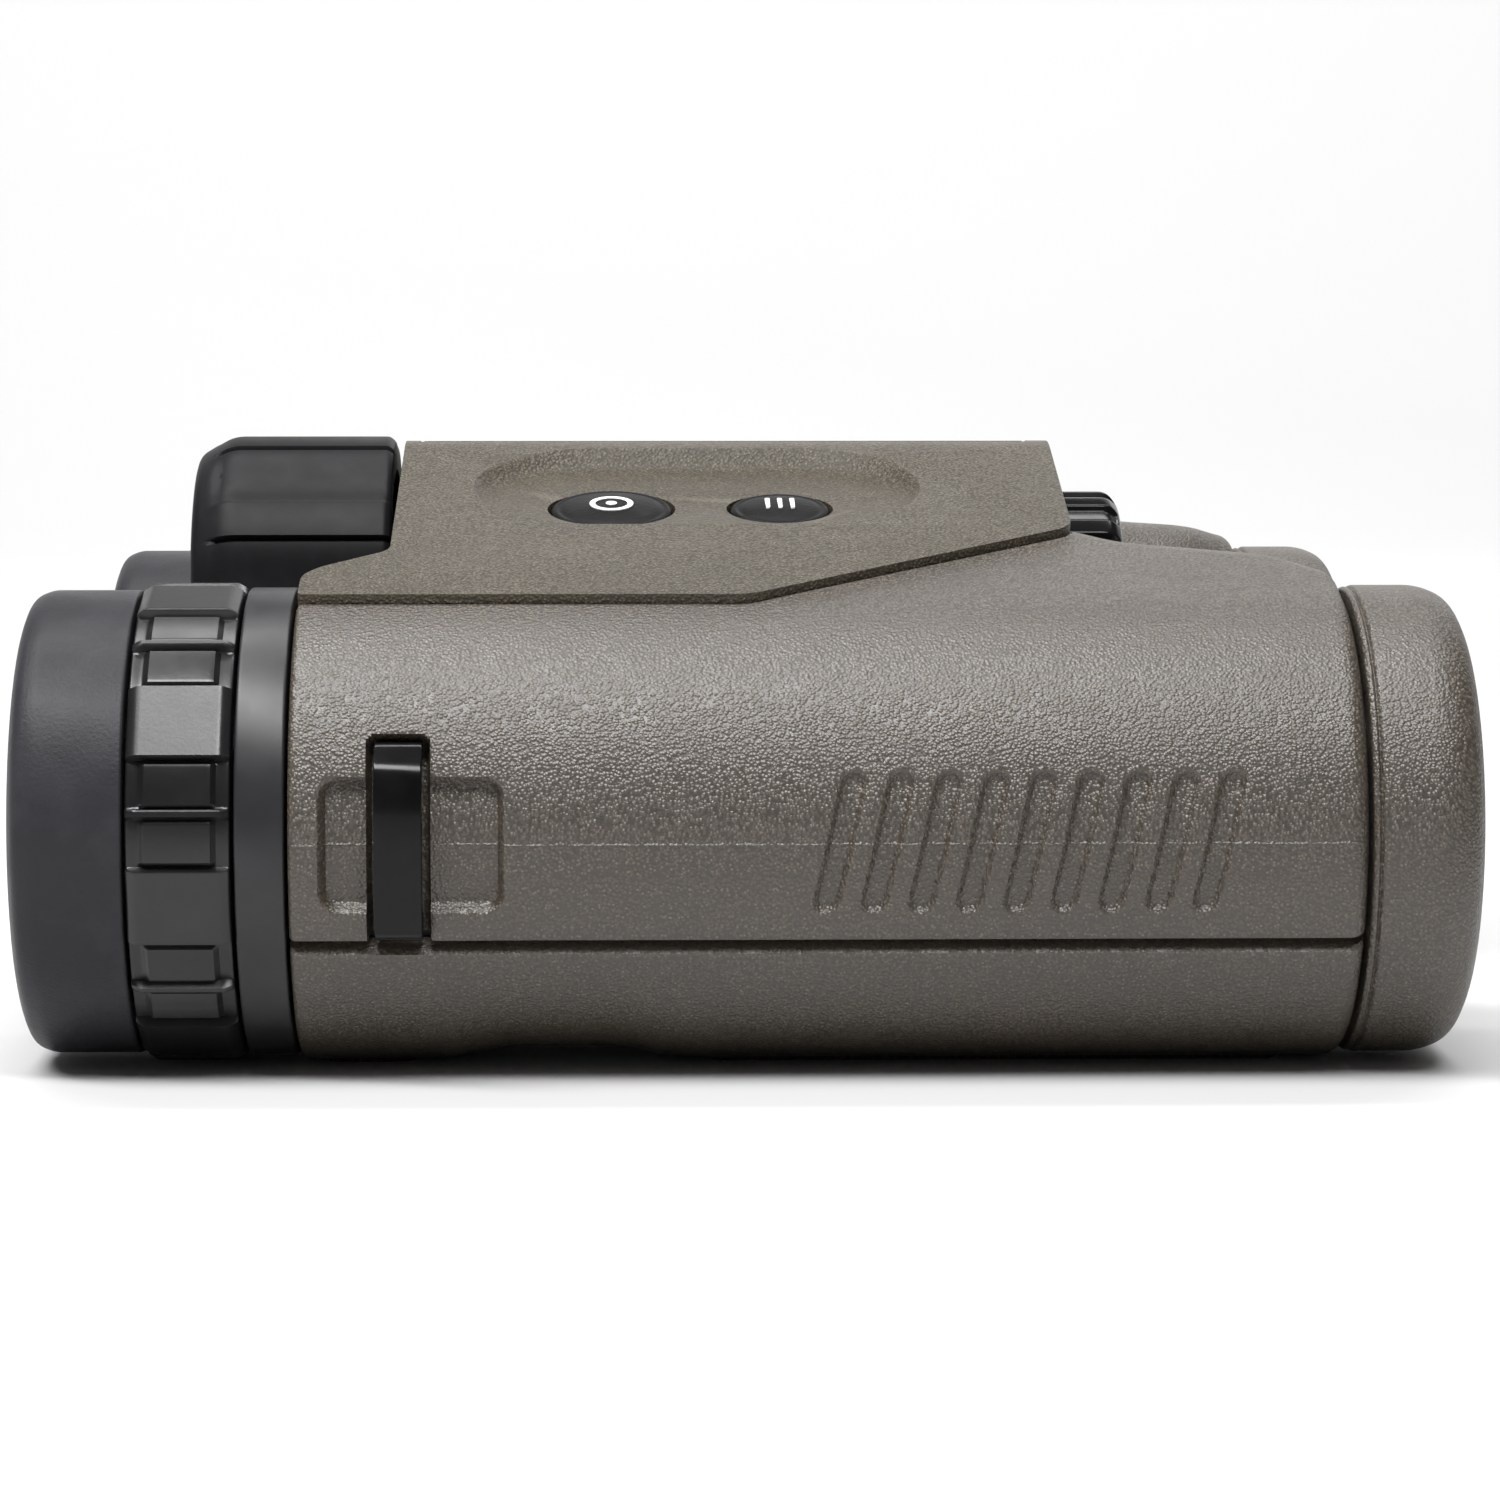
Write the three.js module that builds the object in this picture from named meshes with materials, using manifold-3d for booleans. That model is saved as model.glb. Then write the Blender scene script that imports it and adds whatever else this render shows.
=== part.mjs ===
// Rangefinding binocular: two hinged barrels, a focus wheel, twist-up eyecups,
// diopter rings, two control buttons and a battery tube inside the hinge.
// Millimetres. +X runs forward to the objectives, +Y to the user's left, +Z up.
// The origin is under the middle of the object, on the surface it rests on.

import * as THREE from 'three';
import { mergeVertices } from 'three/addons/utils/BufferGeometryUtils.js';
import Module from 'manifold-3d';

const wasm = await Module();
wasm.setup();

// ---- driving dimensions ----
const GAP = 0.3;                 // clearance between touching pieces
const BARREL_HALF_SPACING = 36;  // barrel axis to the middle plane, opened wide
const BARREL_HEIGHT = 20.55;     // barrel axis above the rest surface
const HINGE_RISE = 17;           // hinge axis above the barrel axes
const COVER_TILT = 16 * Math.PI / 180;

const ARMOUR_RADIUS = 20.4;
const ARMOUR_REAR = -37.8;
const ARMOUR_FRONT = 51.0;
const SHOULDER_RADIUS = 8;       // small circle of the shoulder beside the barrel
const SHOULDER_REACH = 15.9;     // how far the shoulder's flat runs to the hinge
const SPLIT_HEIGHT = -8.6;       // groove between upper and lower armour
const SPLIT_WIDTH = 0.7;
const FOOT_HALF_WIDTH = 3;

const TUBE_OUTER = 17.9;
const TUBE_INNER = 16.5;
const TUBE_REAR = -37.7;
const TUBE_FRONT = 50.5;

const COVER_TOP = 14.7;          // cover surface above the hinge axis
const COVER_THICK = 2;
const COVER_CURL = 1.372;         // where the covers end over the hinge, radians
const COVER_REAR = -30.5;
const COVER_FRONT = 29.1;
const COVER_TONGUE = -37.7;
const COVER_KINK = 0.4;
const COVER_EDGE = -40.9;        // lower edge, along the tilted surface
const COVER_SLANT_END = -23.5;

const KNUCKLE_RADIUS = 12.1;
const KNUCKLE_BORE = 9.7;
const HINGE_TUBE_RADIUS = 9.4;

const WHEEL_REAR = -49.6;
const WHEEL_FRONT = -31.4;
const WHEEL_RADIUS = 15.3;

const CAP_RADIUS = 10;
const CAP_REAR = 29.5;
const CAP_FRONT = 35.7;
const BATTERY_RADIUS = 7.7;
const BATTERY_REAR = -2.9;
const BATTERY_LENGTH = 27;

const RANGE_BUTTON = { x: -11.4, radius: 5.4 };
const MODE_BUTTON = { x: 3.6, radius: 4.45 };
const BUTTON_PLACE = -16;        // along the tilted surface from the hinge
const DISH_PLACE = -12;
const DISH_DEPTH = 0.3;          // at the dish's outer end; it deepens toward the hinge
const DISH_SLOPE = 3 * Math.PI / 180;

const FOCUS_MIDDLE = -14;        // carriage and focusing cells along the hinge

const ROUND = 30;                // sides of the outer round pieces
const INNER_ROUND = 20;          // sides of the inner ones

// ---- geometry helpers ----
function clean(geometry) {
  const bare = geometry.index ? geometry.clone() : mergeVertices(geometry);
  bare.deleteAttribute('normal');
  bare.deleteAttribute('uv');
  const merged = mergeVertices(bare, 1e-5);
  const source = merged.index.array;
  const kept = [];
  for (let i = 0; i < source.length; i += 3) {
    const [a, b, c] = [source[i], source[i + 1], source[i + 2]];
    if (a !== b && b !== c && c !== a) {
      kept.push(a, b, c);
    }
  }
  merged.setIndex(kept);
  return facingOut(merged);
}

function signedVolume(geometry) {
  const spot = geometry.attributes.position;
  const index = geometry.index.array;
  const [a, b, c] = [new THREE.Vector3(), new THREE.Vector3(), new THREE.Vector3()];
  let total = 0;
  for (let i = 0; i < index.length; i += 3) {
    a.fromBufferAttribute(spot, index[i]);
    b.fromBufferAttribute(spot, index[i + 1]);
    c.fromBufferAttribute(spot, index[i + 2]);
    total += a.dot(b.cross(c)) / 6;
  }
  return total;
}

function facingOut(geometry) {
  if (signedVolume(geometry) < 0) {
    const index = geometry.index.array;
    for (let i = 0; i < index.length; i += 3) {
      [index[i], index[i + 1]] = [index[i + 1], index[i]];
    }
  }
  return geometry;
}

function solid(geometry) {
  const ready = clean(geometry);
  return new wasm.Manifold(new wasm.Mesh({
    numProp: 3,
    vertProperties: new Float32Array(ready.attributes.position.array),
    triVerts: new Uint32Array(ready.index.array),
  }));
}

function surface(manifold) {
  const mesh = manifold.getMesh();
  const geometry = new THREE.BufferGeometry();
  geometry.setAttribute('position', new THREE.BufferAttribute(mesh.vertProperties, 3));
  geometry.setIndex(new THREE.BufferAttribute(mesh.triVerts, 1));
  return geometry;
}

function joined(first, ...others) {
  return others.reduce((whole, piece) => whole.add(piece), first);
}

function cut(first, ...others) {
  return others.reduce((whole, piece) => whole.subtract(piece), first);
}

// a profile of [x, radius] points turned about the X axis
function turned(profile, sides = ROUND) {
  const points = profile.map(([x, radius]) => new THREE.Vector2(radius, x));
  return new THREE.LatheGeometry(points, sides).rotateZ(-Math.PI / 2);
}

function ring(rear, front, inner, outer, sides = ROUND) {
  return turned([[rear, inner], [rear, outer], [front, outer], [front, inner], [rear, inner]], sides);
}

function rod(rear, front, radius, sides = ROUND) {
  return turned([[rear, 0], [rear, radius], [front, radius], [front, 0]], sides);
}

// an outline of [y, z] points pushed along X
function pushed(outline, rear, front) {
  const shape = new THREE.Shape(outline.map(([y, z]) => new THREE.Vector2(y, z)));
  const geometry = new THREE.ExtrudeGeometry(shape, { depth: front - rear, bevelEnabled: false });
  const turn = new THREE.Matrix4().makeBasis(
    new THREE.Vector3(0, 1, 0),
    new THREE.Vector3(0, 0, 1),
    new THREE.Vector3(1, 0, 0),
  );
  return geometry.applyMatrix4(turn).translate(rear, 0, 0);
}

// an outline of [x, y] points raised along Z
function raised(outline, bottom, top) {
  const shape = new THREE.Shape(outline.map(([x, y]) => new THREE.Vector2(x, y)));
  const geometry = new THREE.ExtrudeGeometry(shape, { depth: top - bottom, bevelEnabled: false });
  return geometry.translate(0, 0, bottom);
}

function block(x0, x1, y0, y1, z0, z1) {
  const geometry = new THREE.BoxGeometry(x1 - x0, y1 - y0, z1 - z0);
  return geometry.translate((x0 + x1) / 2, (y0 + y1) / 2, (z0 + z1) / 2);
}

function arc(centre, radius, from, to, steps) {
  const points = [];
  for (let i = 0; i <= steps; i += 1) {
    const angle = from + (to - from) * i / steps;
    points.push([centre[0] + radius * Math.cos(angle), centre[1] + radius * Math.sin(angle)]);
  }
  return points;
}

// sections of equal point count, one after the other along X, closed at both ends
function lofted(sections) {
  const count = sections[0].outline.length;
  const places = [];
  const index = [];
  for (const { x, outline } of sections) {
    for (const [y, z] of outline) {
      places.push(x, y, z);
    }
  }
  for (let s = 0; s + 1 < sections.length; s += 1) {
    for (let i = 0; i < count; i += 1) {
      const a = s * count + i;
      const b = s * count + (i + 1) % count;
      index.push(a, b, a + count, b, b + count, a + count);
    }
  }
  for (const [s, flip] of [[0, true], [sections.length - 1, false]]) {
    const centre = places.length / 3;
    places.push(sections[s].x, 0, 0);
    for (let i = 0; i < count; i += 1) {
      const a = s * count + i;
      const b = s * count + (i + 1) % count;
      index.push(centre, flip ? b : a, flip ? a : b);
    }
  }
  const geometry = new THREE.BufferGeometry();
  geometry.setAttribute('position', new THREE.Float32BufferAttribute(places, 3));
  geometry.setIndex(index);
  return geometry;
}

// ---- frames: pieces of a barrel are built for the right barrel, hinge toward +Y ----
const tiltInBarrel = new THREE.Matrix4()
  .makeTranslation(0, BARREL_HALF_SPACING, HINGE_RISE)
  .multiply(new THREE.Matrix4().makeRotationX(COVER_TILT));

function tilted(geometry) {
  return geometry.applyMatrix4(tiltInBarrel);
}

function onHinge(geometry) {
  return geometry.translate(0, BARREL_HALF_SPACING, HINGE_RISE);
}

function mirrored(geometry) {
  const copy = clean(geometry);
  copy.scale(1, -1, 1);
  return facingOut(copy);
}

// ---- materials ----
const looks = {
  armour: { color: 0x5b5346, roughness: 0.72, metalness: 0 },
  cover: { color: 0x625947, roughness: 0.7, metalness: 0 },
  eyecup: { color: 0x1b1b1d, roughness: 0.62, metalness: 0 },
  ring: { color: 0x161618, roughness: 0.45, metalness: 0 },
  collar: { color: 0x111113, roughness: 0.5, metalness: 0.4 },
  gloss: { color: 0x08080a, roughness: 0.22, metalness: 0 },
  chassis: { color: 0x1a1a1c, roughness: 0.55, metalness: 0.6 },
  steel: { color: 0x9a9a9c, roughness: 0.3, metalness: 1 },
  brass: { color: 0xb08d4a, roughness: 0.35, metalness: 1 },
  glass: { color: 0x6d8a94, roughness: 0.05, metalness: 0.1 },
  board: { color: 0x1f5a36, roughness: 0.5, metalness: 0 },
  seal: { color: 0x0c0c0c, roughness: 0.7, metalness: 0 },
  battery: { color: 0x3b4a5a, roughness: 0.35, metalness: 0.2 },
};

function piece(name, look, geometry) {
  const mesh = new THREE.Mesh(clean(geometry), new THREE.MeshStandardMaterial(looks[look]));
  mesh.name = name;
  return mesh;
}

// ---- armour: a barrel circle with a flat shoulder rising toward the hinge ----
function armourOutline(radius, reach, relief) {
  const slope = new THREE.Vector2(Math.cos(COVER_TILT), Math.sin(COVER_TILT));
  const normal = new THREE.Vector2(-slope.y, slope.x);
  const middle = normal.clone().multiplyScalar(radius - SHOULDER_RADIUS).addScaledVector(slope, reach);
  const between = Math.atan2(middle.y, middle.x);
  const lean = Math.acos((radius - SHOULDER_RADIUS) / middle.length());
  const barrelArc = arc([0, 0], radius, between + lean, between - lean + 2 * Math.PI, 28);
  const shoulderArc = arc([middle.x, middle.y], SHOULDER_RADIUS, between - lean, between + lean, 6);
  return [...barrelArc, ...shoulderArc].map(([y, z]) => {
    const below = Math.max(0, -z / radius);
    const shrink = 1 - relief * below ** 4 / radius;
    return [y * shrink, z * shrink];
  });
}

function armourBlank() {
  const stations = [
    [ARMOUR_REAR, -0.7, SHOULDER_REACH, 0],
    [ARMOUR_REAR + 0.7, 0, SHOULDER_REACH, 0],
    [-26, 0, SHOULDER_REACH, 0],
    [-20.5, 0, SHOULDER_REACH, 1.1],
    [-11, 0, SHOULDER_REACH, 1.1],
    [-5, 0, SHOULDER_REACH, 0],
    [28, 0, SHOULDER_REACH, 0],
    [33, -0.05, 12.8, 0],
    [46, -0.15, 8.8, 0],
    [50.2, -0.5, 5.5, 0],
    [ARMOUR_FRONT, -1.3, 4, 0],
  ];
  return lofted(stations.map(([x, growth, reach, relief]) => (
    { x, outline: armourOutline(ARMOUR_RADIUS + growth, reach, relief) }
  )));
}

// The shoulder is cut back behind the cover, so that a finger reaches the focus wheel.
function wheelRoom() {
  const outline = [[-34.5, 11.9], [-29, 9.9], [-20, 6.5], [-8, 3], [-8, 25], [-34.5, 25]];
  return solid(tilted(pushed(outline, -45, COVER_REAR - GAP)));
}

// ---- cover over the bridge, in the tilted frame of the hinge ----
function coverOutline(grow) {
  return [
    [COVER_REAR - grow, 3],
    [COVER_REAR - grow, -29.3],
    [-36.4 - grow, -33.9],
    [COVER_TONGUE - grow, -36],
    [COVER_TONGUE - grow, COVER_EDGE - grow],
    [COVER_KINK + grow / 2, COVER_EDGE - grow],
    [COVER_FRONT - 0.8 + grow, COVER_SLANT_END - grow],
    [COVER_FRONT + grow, COVER_SLANT_END + 1.5],
    [COVER_FRONT + grow, 3],
  ];
}

function coverBlank(grow) {
  const wrap = [
    ...arc([0, 0], COVER_TOP + grow, COVER_CURL - grow / COVER_TOP, 1.6, 3),
    ...arc([0, 0], COVER_TOP - COVER_THICK - grow, 1.6, COVER_CURL - grow / COVER_TOP, 3),
  ];
  const plate = cut(
    solid(raised(coverOutline(grow), COVER_TOP - COVER_THICK - grow, COVER_TOP + grow)),
    solid(block(-50, 50, 0, 10, 0, 30)),
  );
  const wrapSolid = solid(pushed(wrap, COVER_REAR - grow, COVER_FRONT + grow));
  const frontWeb = solid(block(COVER_FRONT - 1.9 - grow, COVER_FRONT + grow, -24, -0.5, 3.6, COVER_TOP - 1));
  const rearWeb = solid(block(COVER_REAR - grow, COVER_REAR + 1.3 + grow, -24, -0.5, 3.6, COVER_TOP - 1));
  return joined(plate, wrapSolid, frontWeb, rearWeb);
}

function dish() {
  const half = 9.1;
  const middle = -3.7;
  const reach = 23.2;
  const outline = (radius) => [
    ...arc([middle + half, DISH_PLACE], radius, -Math.PI / 2, Math.PI / 2, 8),
    ...arc([middle - half, DISH_PLACE], radius, Math.PI / 2, 1.5 * Math.PI, 8),
  ];
  const steps = [[COVER_TOP + 1.3, 12], [COVER_TOP + 0.3, 10.6], [COVER_TOP - DISH_DEPTH, 9.4]];
  const sections = steps.map(([z, radius]) => (
    { x: -z, outline: outline(radius).map(([x, y]) => [x - middle, y - DISH_PLACE]) }
  ));
  const upright = new THREE.Matrix4().makeBasis(
    new THREE.Vector3(0, 0, -1),
    new THREE.Vector3(1, 0, 0),
    new THREE.Vector3(0, -1, 0),
  );
  return lofted(sections).applyMatrix4(upright).translate(middle, DISH_PLACE + reach, -COVER_TOP)
    .rotateX(-DISH_SLOPE).translate(0, -reach, COVER_TOP);
}

function standing(profile, sides) {
  const points = profile.map(([height, radius]) => new THREE.Vector2(radius, height));
  return new THREE.LatheGeometry(points, sides).rotateX(Math.PI / 2);
}

function pin(radius, bottom, top, sides = INNER_ROUND) {
  return standing([[bottom, 0], [bottom, radius], [top, radius], [top, 0]], sides);
}

// ---- arms between a barrel and the hinge ----
function armPlate(grow, rear, front) {
  const hinge = [BARREL_HALF_SPACING, HINGE_RISE];
  const root = [12, 8];
  const between = Math.atan2(hinge[1] - root[1], hinge[0] - root[0]);
  const span = Math.hypot(hinge[1] - root[1], hinge[0] - root[0]);
  const rootRadius = 7;
  const lean = Math.acos((KNUCKLE_RADIUS - rootRadius) / span);
  const hingeArc = arc(hinge, KNUCKLE_RADIUS + grow, between - Math.PI + lean, between + Math.PI - lean, 16);
  const rootArc = arc(root, rootRadius + grow, between + Math.PI - lean, between + Math.PI + lean, 5);
  return solid(pushed([...hingeArc, ...rootArc], rear - grow, front + grow));
}

const bayCut = () => solid(tilted(block(-26.2, 20.2, -28, -12.6, -5.7, COVER_TOP - 1)));
const barrelBore = () => solid(rod(-60, 70, TUBE_INNER));
const focusSlot = () => {
  const angle = Math.atan2(HINGE_RISE, BARREL_HALF_SPACING);
  const slot = block(FOCUS_MIDDLE - 3.2, FOCUS_MIDDLE + 3.2, 10, 26, -2.9, 2.9);
  return solid(slot.rotateX(angle));
};

// part of a tube about the hinge axis, between two angles in degrees from +Y upward
function hingeShell(inner, outer, from, to, rear, front) {
  const [start, end] = [from * Math.PI / 180, to * Math.PI / 180];
  return solid(onHinge(pushed([
    ...arc([0, 0], outer, start, end, 12),
    ...arc([0, 0], inner, end, start, 12),
  ], rear, front)));
}

// closes the underside of the hinge between the left barrel's arms
const bellyShell = () => hingeShell(KNUCKLE_RADIUS + 0.4, KNUCKLE_RADIUS + 1.9, 221, 273, -20.4, 11.6);

function chassis(side) {
  const tube = solid(rod(TUBE_REAR, TUBE_FRONT, TUBE_OUTER));
  const trayEdge = side < 0 ? -12.2 : -13.3;
  const tray = solid(tilted(block(-26.2, 20.2, -25, trayEdge, -7.6, -6)));
  let arms;
  if (side < 0) {
    const rearArm = armPlate(0, -28.9, -26.5);
    const frontArm = armPlate(0, 20.5, 26.5);
    const sleeve = solid(onHinge(rod(-28.9, -20.2, HINGE_TUBE_RADIUS, 24)));
    const screwHole = solid(onHinge(rod(-30, -20, 3.4, 16)));
    const tubeHole = solid(onHinge(rod(20, 27, KNUCKLE_BORE, 24)));
    arms = cut(joined(rearArm, frontArm, sleeve, bellyShell()), screwHole, tubeHole);
  } else {
    const rearArm = armPlate(0, -26.2, -21);
    const frontArm = armPlate(0, 12, 20.2);
    const crown = hingeShell(KNUCKLE_RADIUS - 1.5, KNUCKLE_RADIUS, 50, 180, -22, 13);
    const keel = hingeShell(KNUCKLE_RADIUS - 1.5, KNUCKLE_RADIUS, 222, 278, -22, 13);
    const hole = solid(onHinge(rod(-30, 30, KNUCKLE_BORE, 24)));
    arms = cut(joined(rearArm, frontArm, crown, keel), hole);
  }
  return surface(cut(joined(tube, tray, arms), barrelBore(), focusSlot()));
}

function armour(side) {
  const above = solid(block(-60, 70, -40, 40, SPLIT_HEIGHT + SPLIT_WIDTH / 2, 60));
  const below = solid(block(-60, 70, -40, 40, -60, SPLIT_HEIGHT - SPLIT_WIDTH / 2));
  const arms = side < 0
    ? [armPlate(GAP, -28.9, -26.5), armPlate(GAP, 20.5, 26.5)]
    : [armPlate(GAP, -26.2, -21), armPlate(GAP, 12, 20.2)];
  const coverRoom = solid(tilted(surface(coverBlank(GAP))));
  const shell = cut(solid(armourBlank()), solid(rod(-60, 70, TUBE_OUTER + GAP)));
  const strapRecess = solid(block(-35.1, -20.3, -30, -19.2, -5.5, 5.4));
  const barSlot = solid(block(-31.3, -26.2, -30, -10, SPLIT_HEIGHT - 0.2, 9));
  const trayRoom = solid(tilted(block(-26.5, 20.5, -25.3, -12, -7.9, -5.2)));
  const upper = cut(shell.intersect(above), coverRoom, wheelRoom(), bayCut(), trayRoom, ...arms, strapRecess, barSlot);
  const foot = (rear, front) => solid(
    block(rear, front, -FOOT_HALF_WIDTH, FOOT_HALF_WIDTH, -BARREL_HEIGHT, -19.4),
  );
  const lower = joined(shell.intersect(below), foot(-36, -28), foot(-3, 46));
  return { upper: surface(upper), lower: surface(lower) };
}

function strapBar() {
  const outline = [
    [17.3, -8], [19.4, -8], [21, -7.3], [21.55, -3.5], [21.6, -2], [21.6, 2], [21.55, 3.5],
    [21.1, 6.2], [19, 8.3], [17, 8.3], [17.5, 5.9], [19.6, 5.3], [19.75, 0], [19.6, -5.3], [17.8, -5.9],
  ];
  return pushed(outline.map(([out, z]) => [-out, z]), -30.7, -26.8);
}

// ---- optics ----
function lens(rear, front, radius, rearSag, frontSag) {
  const steps = 3;
  const profile = [];
  for (let i = 0; i <= steps; i += 1) {
    const part = i / steps;
    profile.push([rear + rearSag * (1 - part ** 2), radius * part]);
  }
  for (let i = 0; i <= steps; i += 1) {
    const part = 1 - i / steps;
    profile.push([front + frontSag * (1 - part ** 2), radius * part]);
  }
  return turned(profile, INNER_ROUND);
}

function prism(rear, front, rearHalf, frontHalf) {
  const outline = [[rear, -rearHalf], [front, -frontHalf], [front, 11], [rear, 11]];
  const shape = new THREE.Shape(outline.map(([x, z]) => new THREE.Vector2(x, z)));
  const geometry = new THREE.ExtrudeGeometry(shape, { depth: 18, bevelEnabled: false });
  return geometry.translate(0, 0, -9).rotateX(Math.PI / 2);
}

function focusCell() {
  const angle = Math.atan2(HINGE_RISE, BARREL_HALF_SPACING);
  const reach = Math.hypot(HINGE_RISE, BARREL_HALF_SPACING) - 7.3;
  const arm = block(FOCUS_MIDDLE - 1, FOCUS_MIDDLE + 1, 14.6, reach, -2.5, 2.5).rotateX(angle);
  const cell = ring(FOCUS_MIDDLE - 2.5, FOCUS_MIDDLE + 2.5, 13.5, 16.2, INNER_ROUND);
  return surface(joined(solid(cell), solid(arm)));
}

function diopterRing() {
  const rear = -51.1;
  const front = -42.5;
  const lug = 18.5 * Math.PI / 180;
  const outline = [];
  for (let i = 0; i < 8; i += 1) {
    const middle = Math.PI - (30 + 45 * i) * Math.PI / 180;
    outline.push(...arc([0, 0], 20.5, middle + lug / 2, middle - lug / 2, 1));
    outline.push(...arc([0, 0], 19.9, middle - lug / 2 - 0.02, middle + lug / 2 - Math.PI / 4 + 0.02, 3));
  }
  const bore = solid(rod(rear - 1, front + 1, 15.9, INNER_ROUND));
  return surface(cut(solid(pushed(outline, rear, front)), bore));
}

function barrelPieces(side) {
  const word = side < 0 ? 'right' : 'left';
  const skins = armour(side);
  const list = [
    ['chassis', 'chassis', chassis(side)],
    ['upper_armour', 'armour', skins.upper],
    ['lower_armour', 'armour', skins.lower],
    ['strap_bar', 'gloss', strapBar()],
    ['objective_ring', 'armour', turned([
      [51.35, 16.4], [51.35, 20.1], [56.3, 20.1], [58.6, 19.5], [60.3, 18.1], [61.1, 16.3],
      [60.9, 15.7], [60.2, 15.7], [58.8, 16.4], [51.35, 16.4],
    ])],
    ['objective_retainer', 'ring', turned([
      [56.9, 15.2], [56.9, 16.1], [58.5, 16.1], [58.5, 15.7], [58.1, 15.2], [56.9, 15.2],
    ], INNER_ROUND)],
    ['objective_lens', 'glass', lens(50.9, 55.3, 16.0, 0.8, 1.2)],
    ['focus_cell', 'chassis', focusCell()],
    ['focus_lens', 'glass', lens(FOCUS_MIDDLE - 1.8, FOCUS_MIDDLE + 1.8, 13.2, 0.7, -0.7)],
    ['front_prism', 'glass', prism(-26.9, -18.6, 11, 6)],
    ['rear_prism', 'glass', prism(-35.5, -27.2, 6, 11)],
    ['eyepiece_barrel', 'collar', turned([
      [-58.3, 14.2], [-58.3, 15.6], [-42.2, 15.6], [-42.2, 20.0], [-38.1, 20.0], [-38.1, 16.2],
      [-36, 16.2], [-36, 14.2], [-58.3, 14.2],
    ])],
    ['diopter_ring', 'ring', diopterRing()],
    ['ocular_cell', 'chassis', ring(-57, -46, 11.7, 13.9, INNER_ROUND)],
    ['eye_lens', 'glass', lens(-55.3, -50.5, 11.4, -0.9, 0.7)],
    ['eyecup_sleeve', 'chassis', ring(-58.9, -51.6, 15.9, 16.9, INNER_ROUND)],
    ['eyecup', 'eyecup', turned([
      [-51.4, 17.2], [-51.4, 19.8], [-58.8, 19.8], [-60.4, 19.1], [-61.1, 17.5], [-61.1, 14.6],
      [-60.6, 13.8], [-59.8, 13.8], [-59.3, 14.6], [-59.2, 17.2], [-51.4, 17.2],
    ])],
  ];
  const group = new THREE.Group();
  group.position.set(0, side * BARREL_HALF_SPACING, BARREL_HEIGHT);
  for (const [name, look, geometry] of list) {
    group.add(piece(`${word}_${name}`, look, side < 0 ? geometry : mirrored(geometry)));
  }
  return group;
}

// ---- covers and electronics, in the tilted frame of the hinge ----
function controlCover() {
  const frontDisc = solid(rod(COVER_FRONT - 1.9, COVER_FRONT, COVER_TOP, ROUND));
  const rearDisc = solid(rod(COVER_REAR, COVER_REAR + 1.3, COVER_TOP, ROUND));
  const pad = solid(block(-25.8, 19.5, -27.5, -6.5, COVER_TOP - 3.5, COVER_TOP - 1));
  const blank = joined(coverBlank(0), frontDisc, rearDisc, pad);
  const holes = [RANGE_BUTTON, MODE_BUTTON].map(({ x, radius }) => (
    solid(pin(radius + GAP, 5, 20).translate(x, BUTTON_PLACE, 0))
  ));
  const tubeHole = solid(rod(20, 35, KNUCKLE_BORE, 24));
  const screwHole = solid(rod(-35, -20, 3.6, 16));
  return surface(cut(blank, solid(dish()), ...holes, tubeHole, screwHole));
}

function bridgeCover() {
  const discRoom = (rear, front) => solid(rod(rear, front, COVER_TOP + GAP, ROUND));
  return surface(cut(
    coverBlank(0),
    discRoom(COVER_FRONT - 1.9 - GAP, COVER_FRONT + 2),
    discRoom(COVER_REAR - 2, COVER_REAR + 1.3 + GAP),
  ));
}

function button(radius) {
  return standing([
    [9.6, 0], [9.6, radius + 0.9], [10.9, radius + 0.9], [10.9, radius], [13.7, radius],
    [14.1, radius - 0.4], [14.4, radius - 2], [14.6, 0],
  ], INNER_ROUND);
}

function buttonBoard() {
  const board = solid(block(-22, 15, -26.5, -15.2, 6.3, 7.5));
  const switches = [RANGE_BUTTON, MODE_BUTTON].map(({ x }) => (
    solid(pin(2, 7, 8.6, 16).translate(x, BUTTON_PLACE - 2.5, 0))
  ));
  return surface(joined(board, ...switches));
}

function tiltedPieces() {
  const right = new THREE.Group();
  right.position.set(0, 0, BARREL_HEIGHT + HINGE_RISE);
  right.rotation.x = COVER_TILT;
  right.add(piece('control_cover', 'cover', controlCover()));
  const buttons = [['range_button', RANGE_BUTTON], ['mode_button', MODE_BUTTON]];
  for (const [name, { x, radius }] of buttons) {
    const mesh = piece(name, 'ring', button(radius));
    mesh.position.set(x, BUTTON_PLACE, 0);
    right.add(mesh);
  }
  right.add(piece('button_board', 'board', buttonBoard()));
  right.add(piece('display_module', 'chassis', block(-8, 6, -21, -15.5, -1, 5.5)));
  const left = new THREE.Group();
  left.position.set(0, 0, BARREL_HEIGHT + HINGE_RISE);
  left.rotation.x = -COVER_TILT;
  left.add(piece('bridge_cover', 'cover', mirrored(bridgeCover())));
  left.add(piece('main_board', 'board', block(-19, 11, 15.2, 27, 7, 8.4)));
  left.add(piece('laser_module', 'steel', rod(-8, 8, 3, 20).translate(0, 18.2, 2.2)));
  return [right, left];
}

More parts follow.
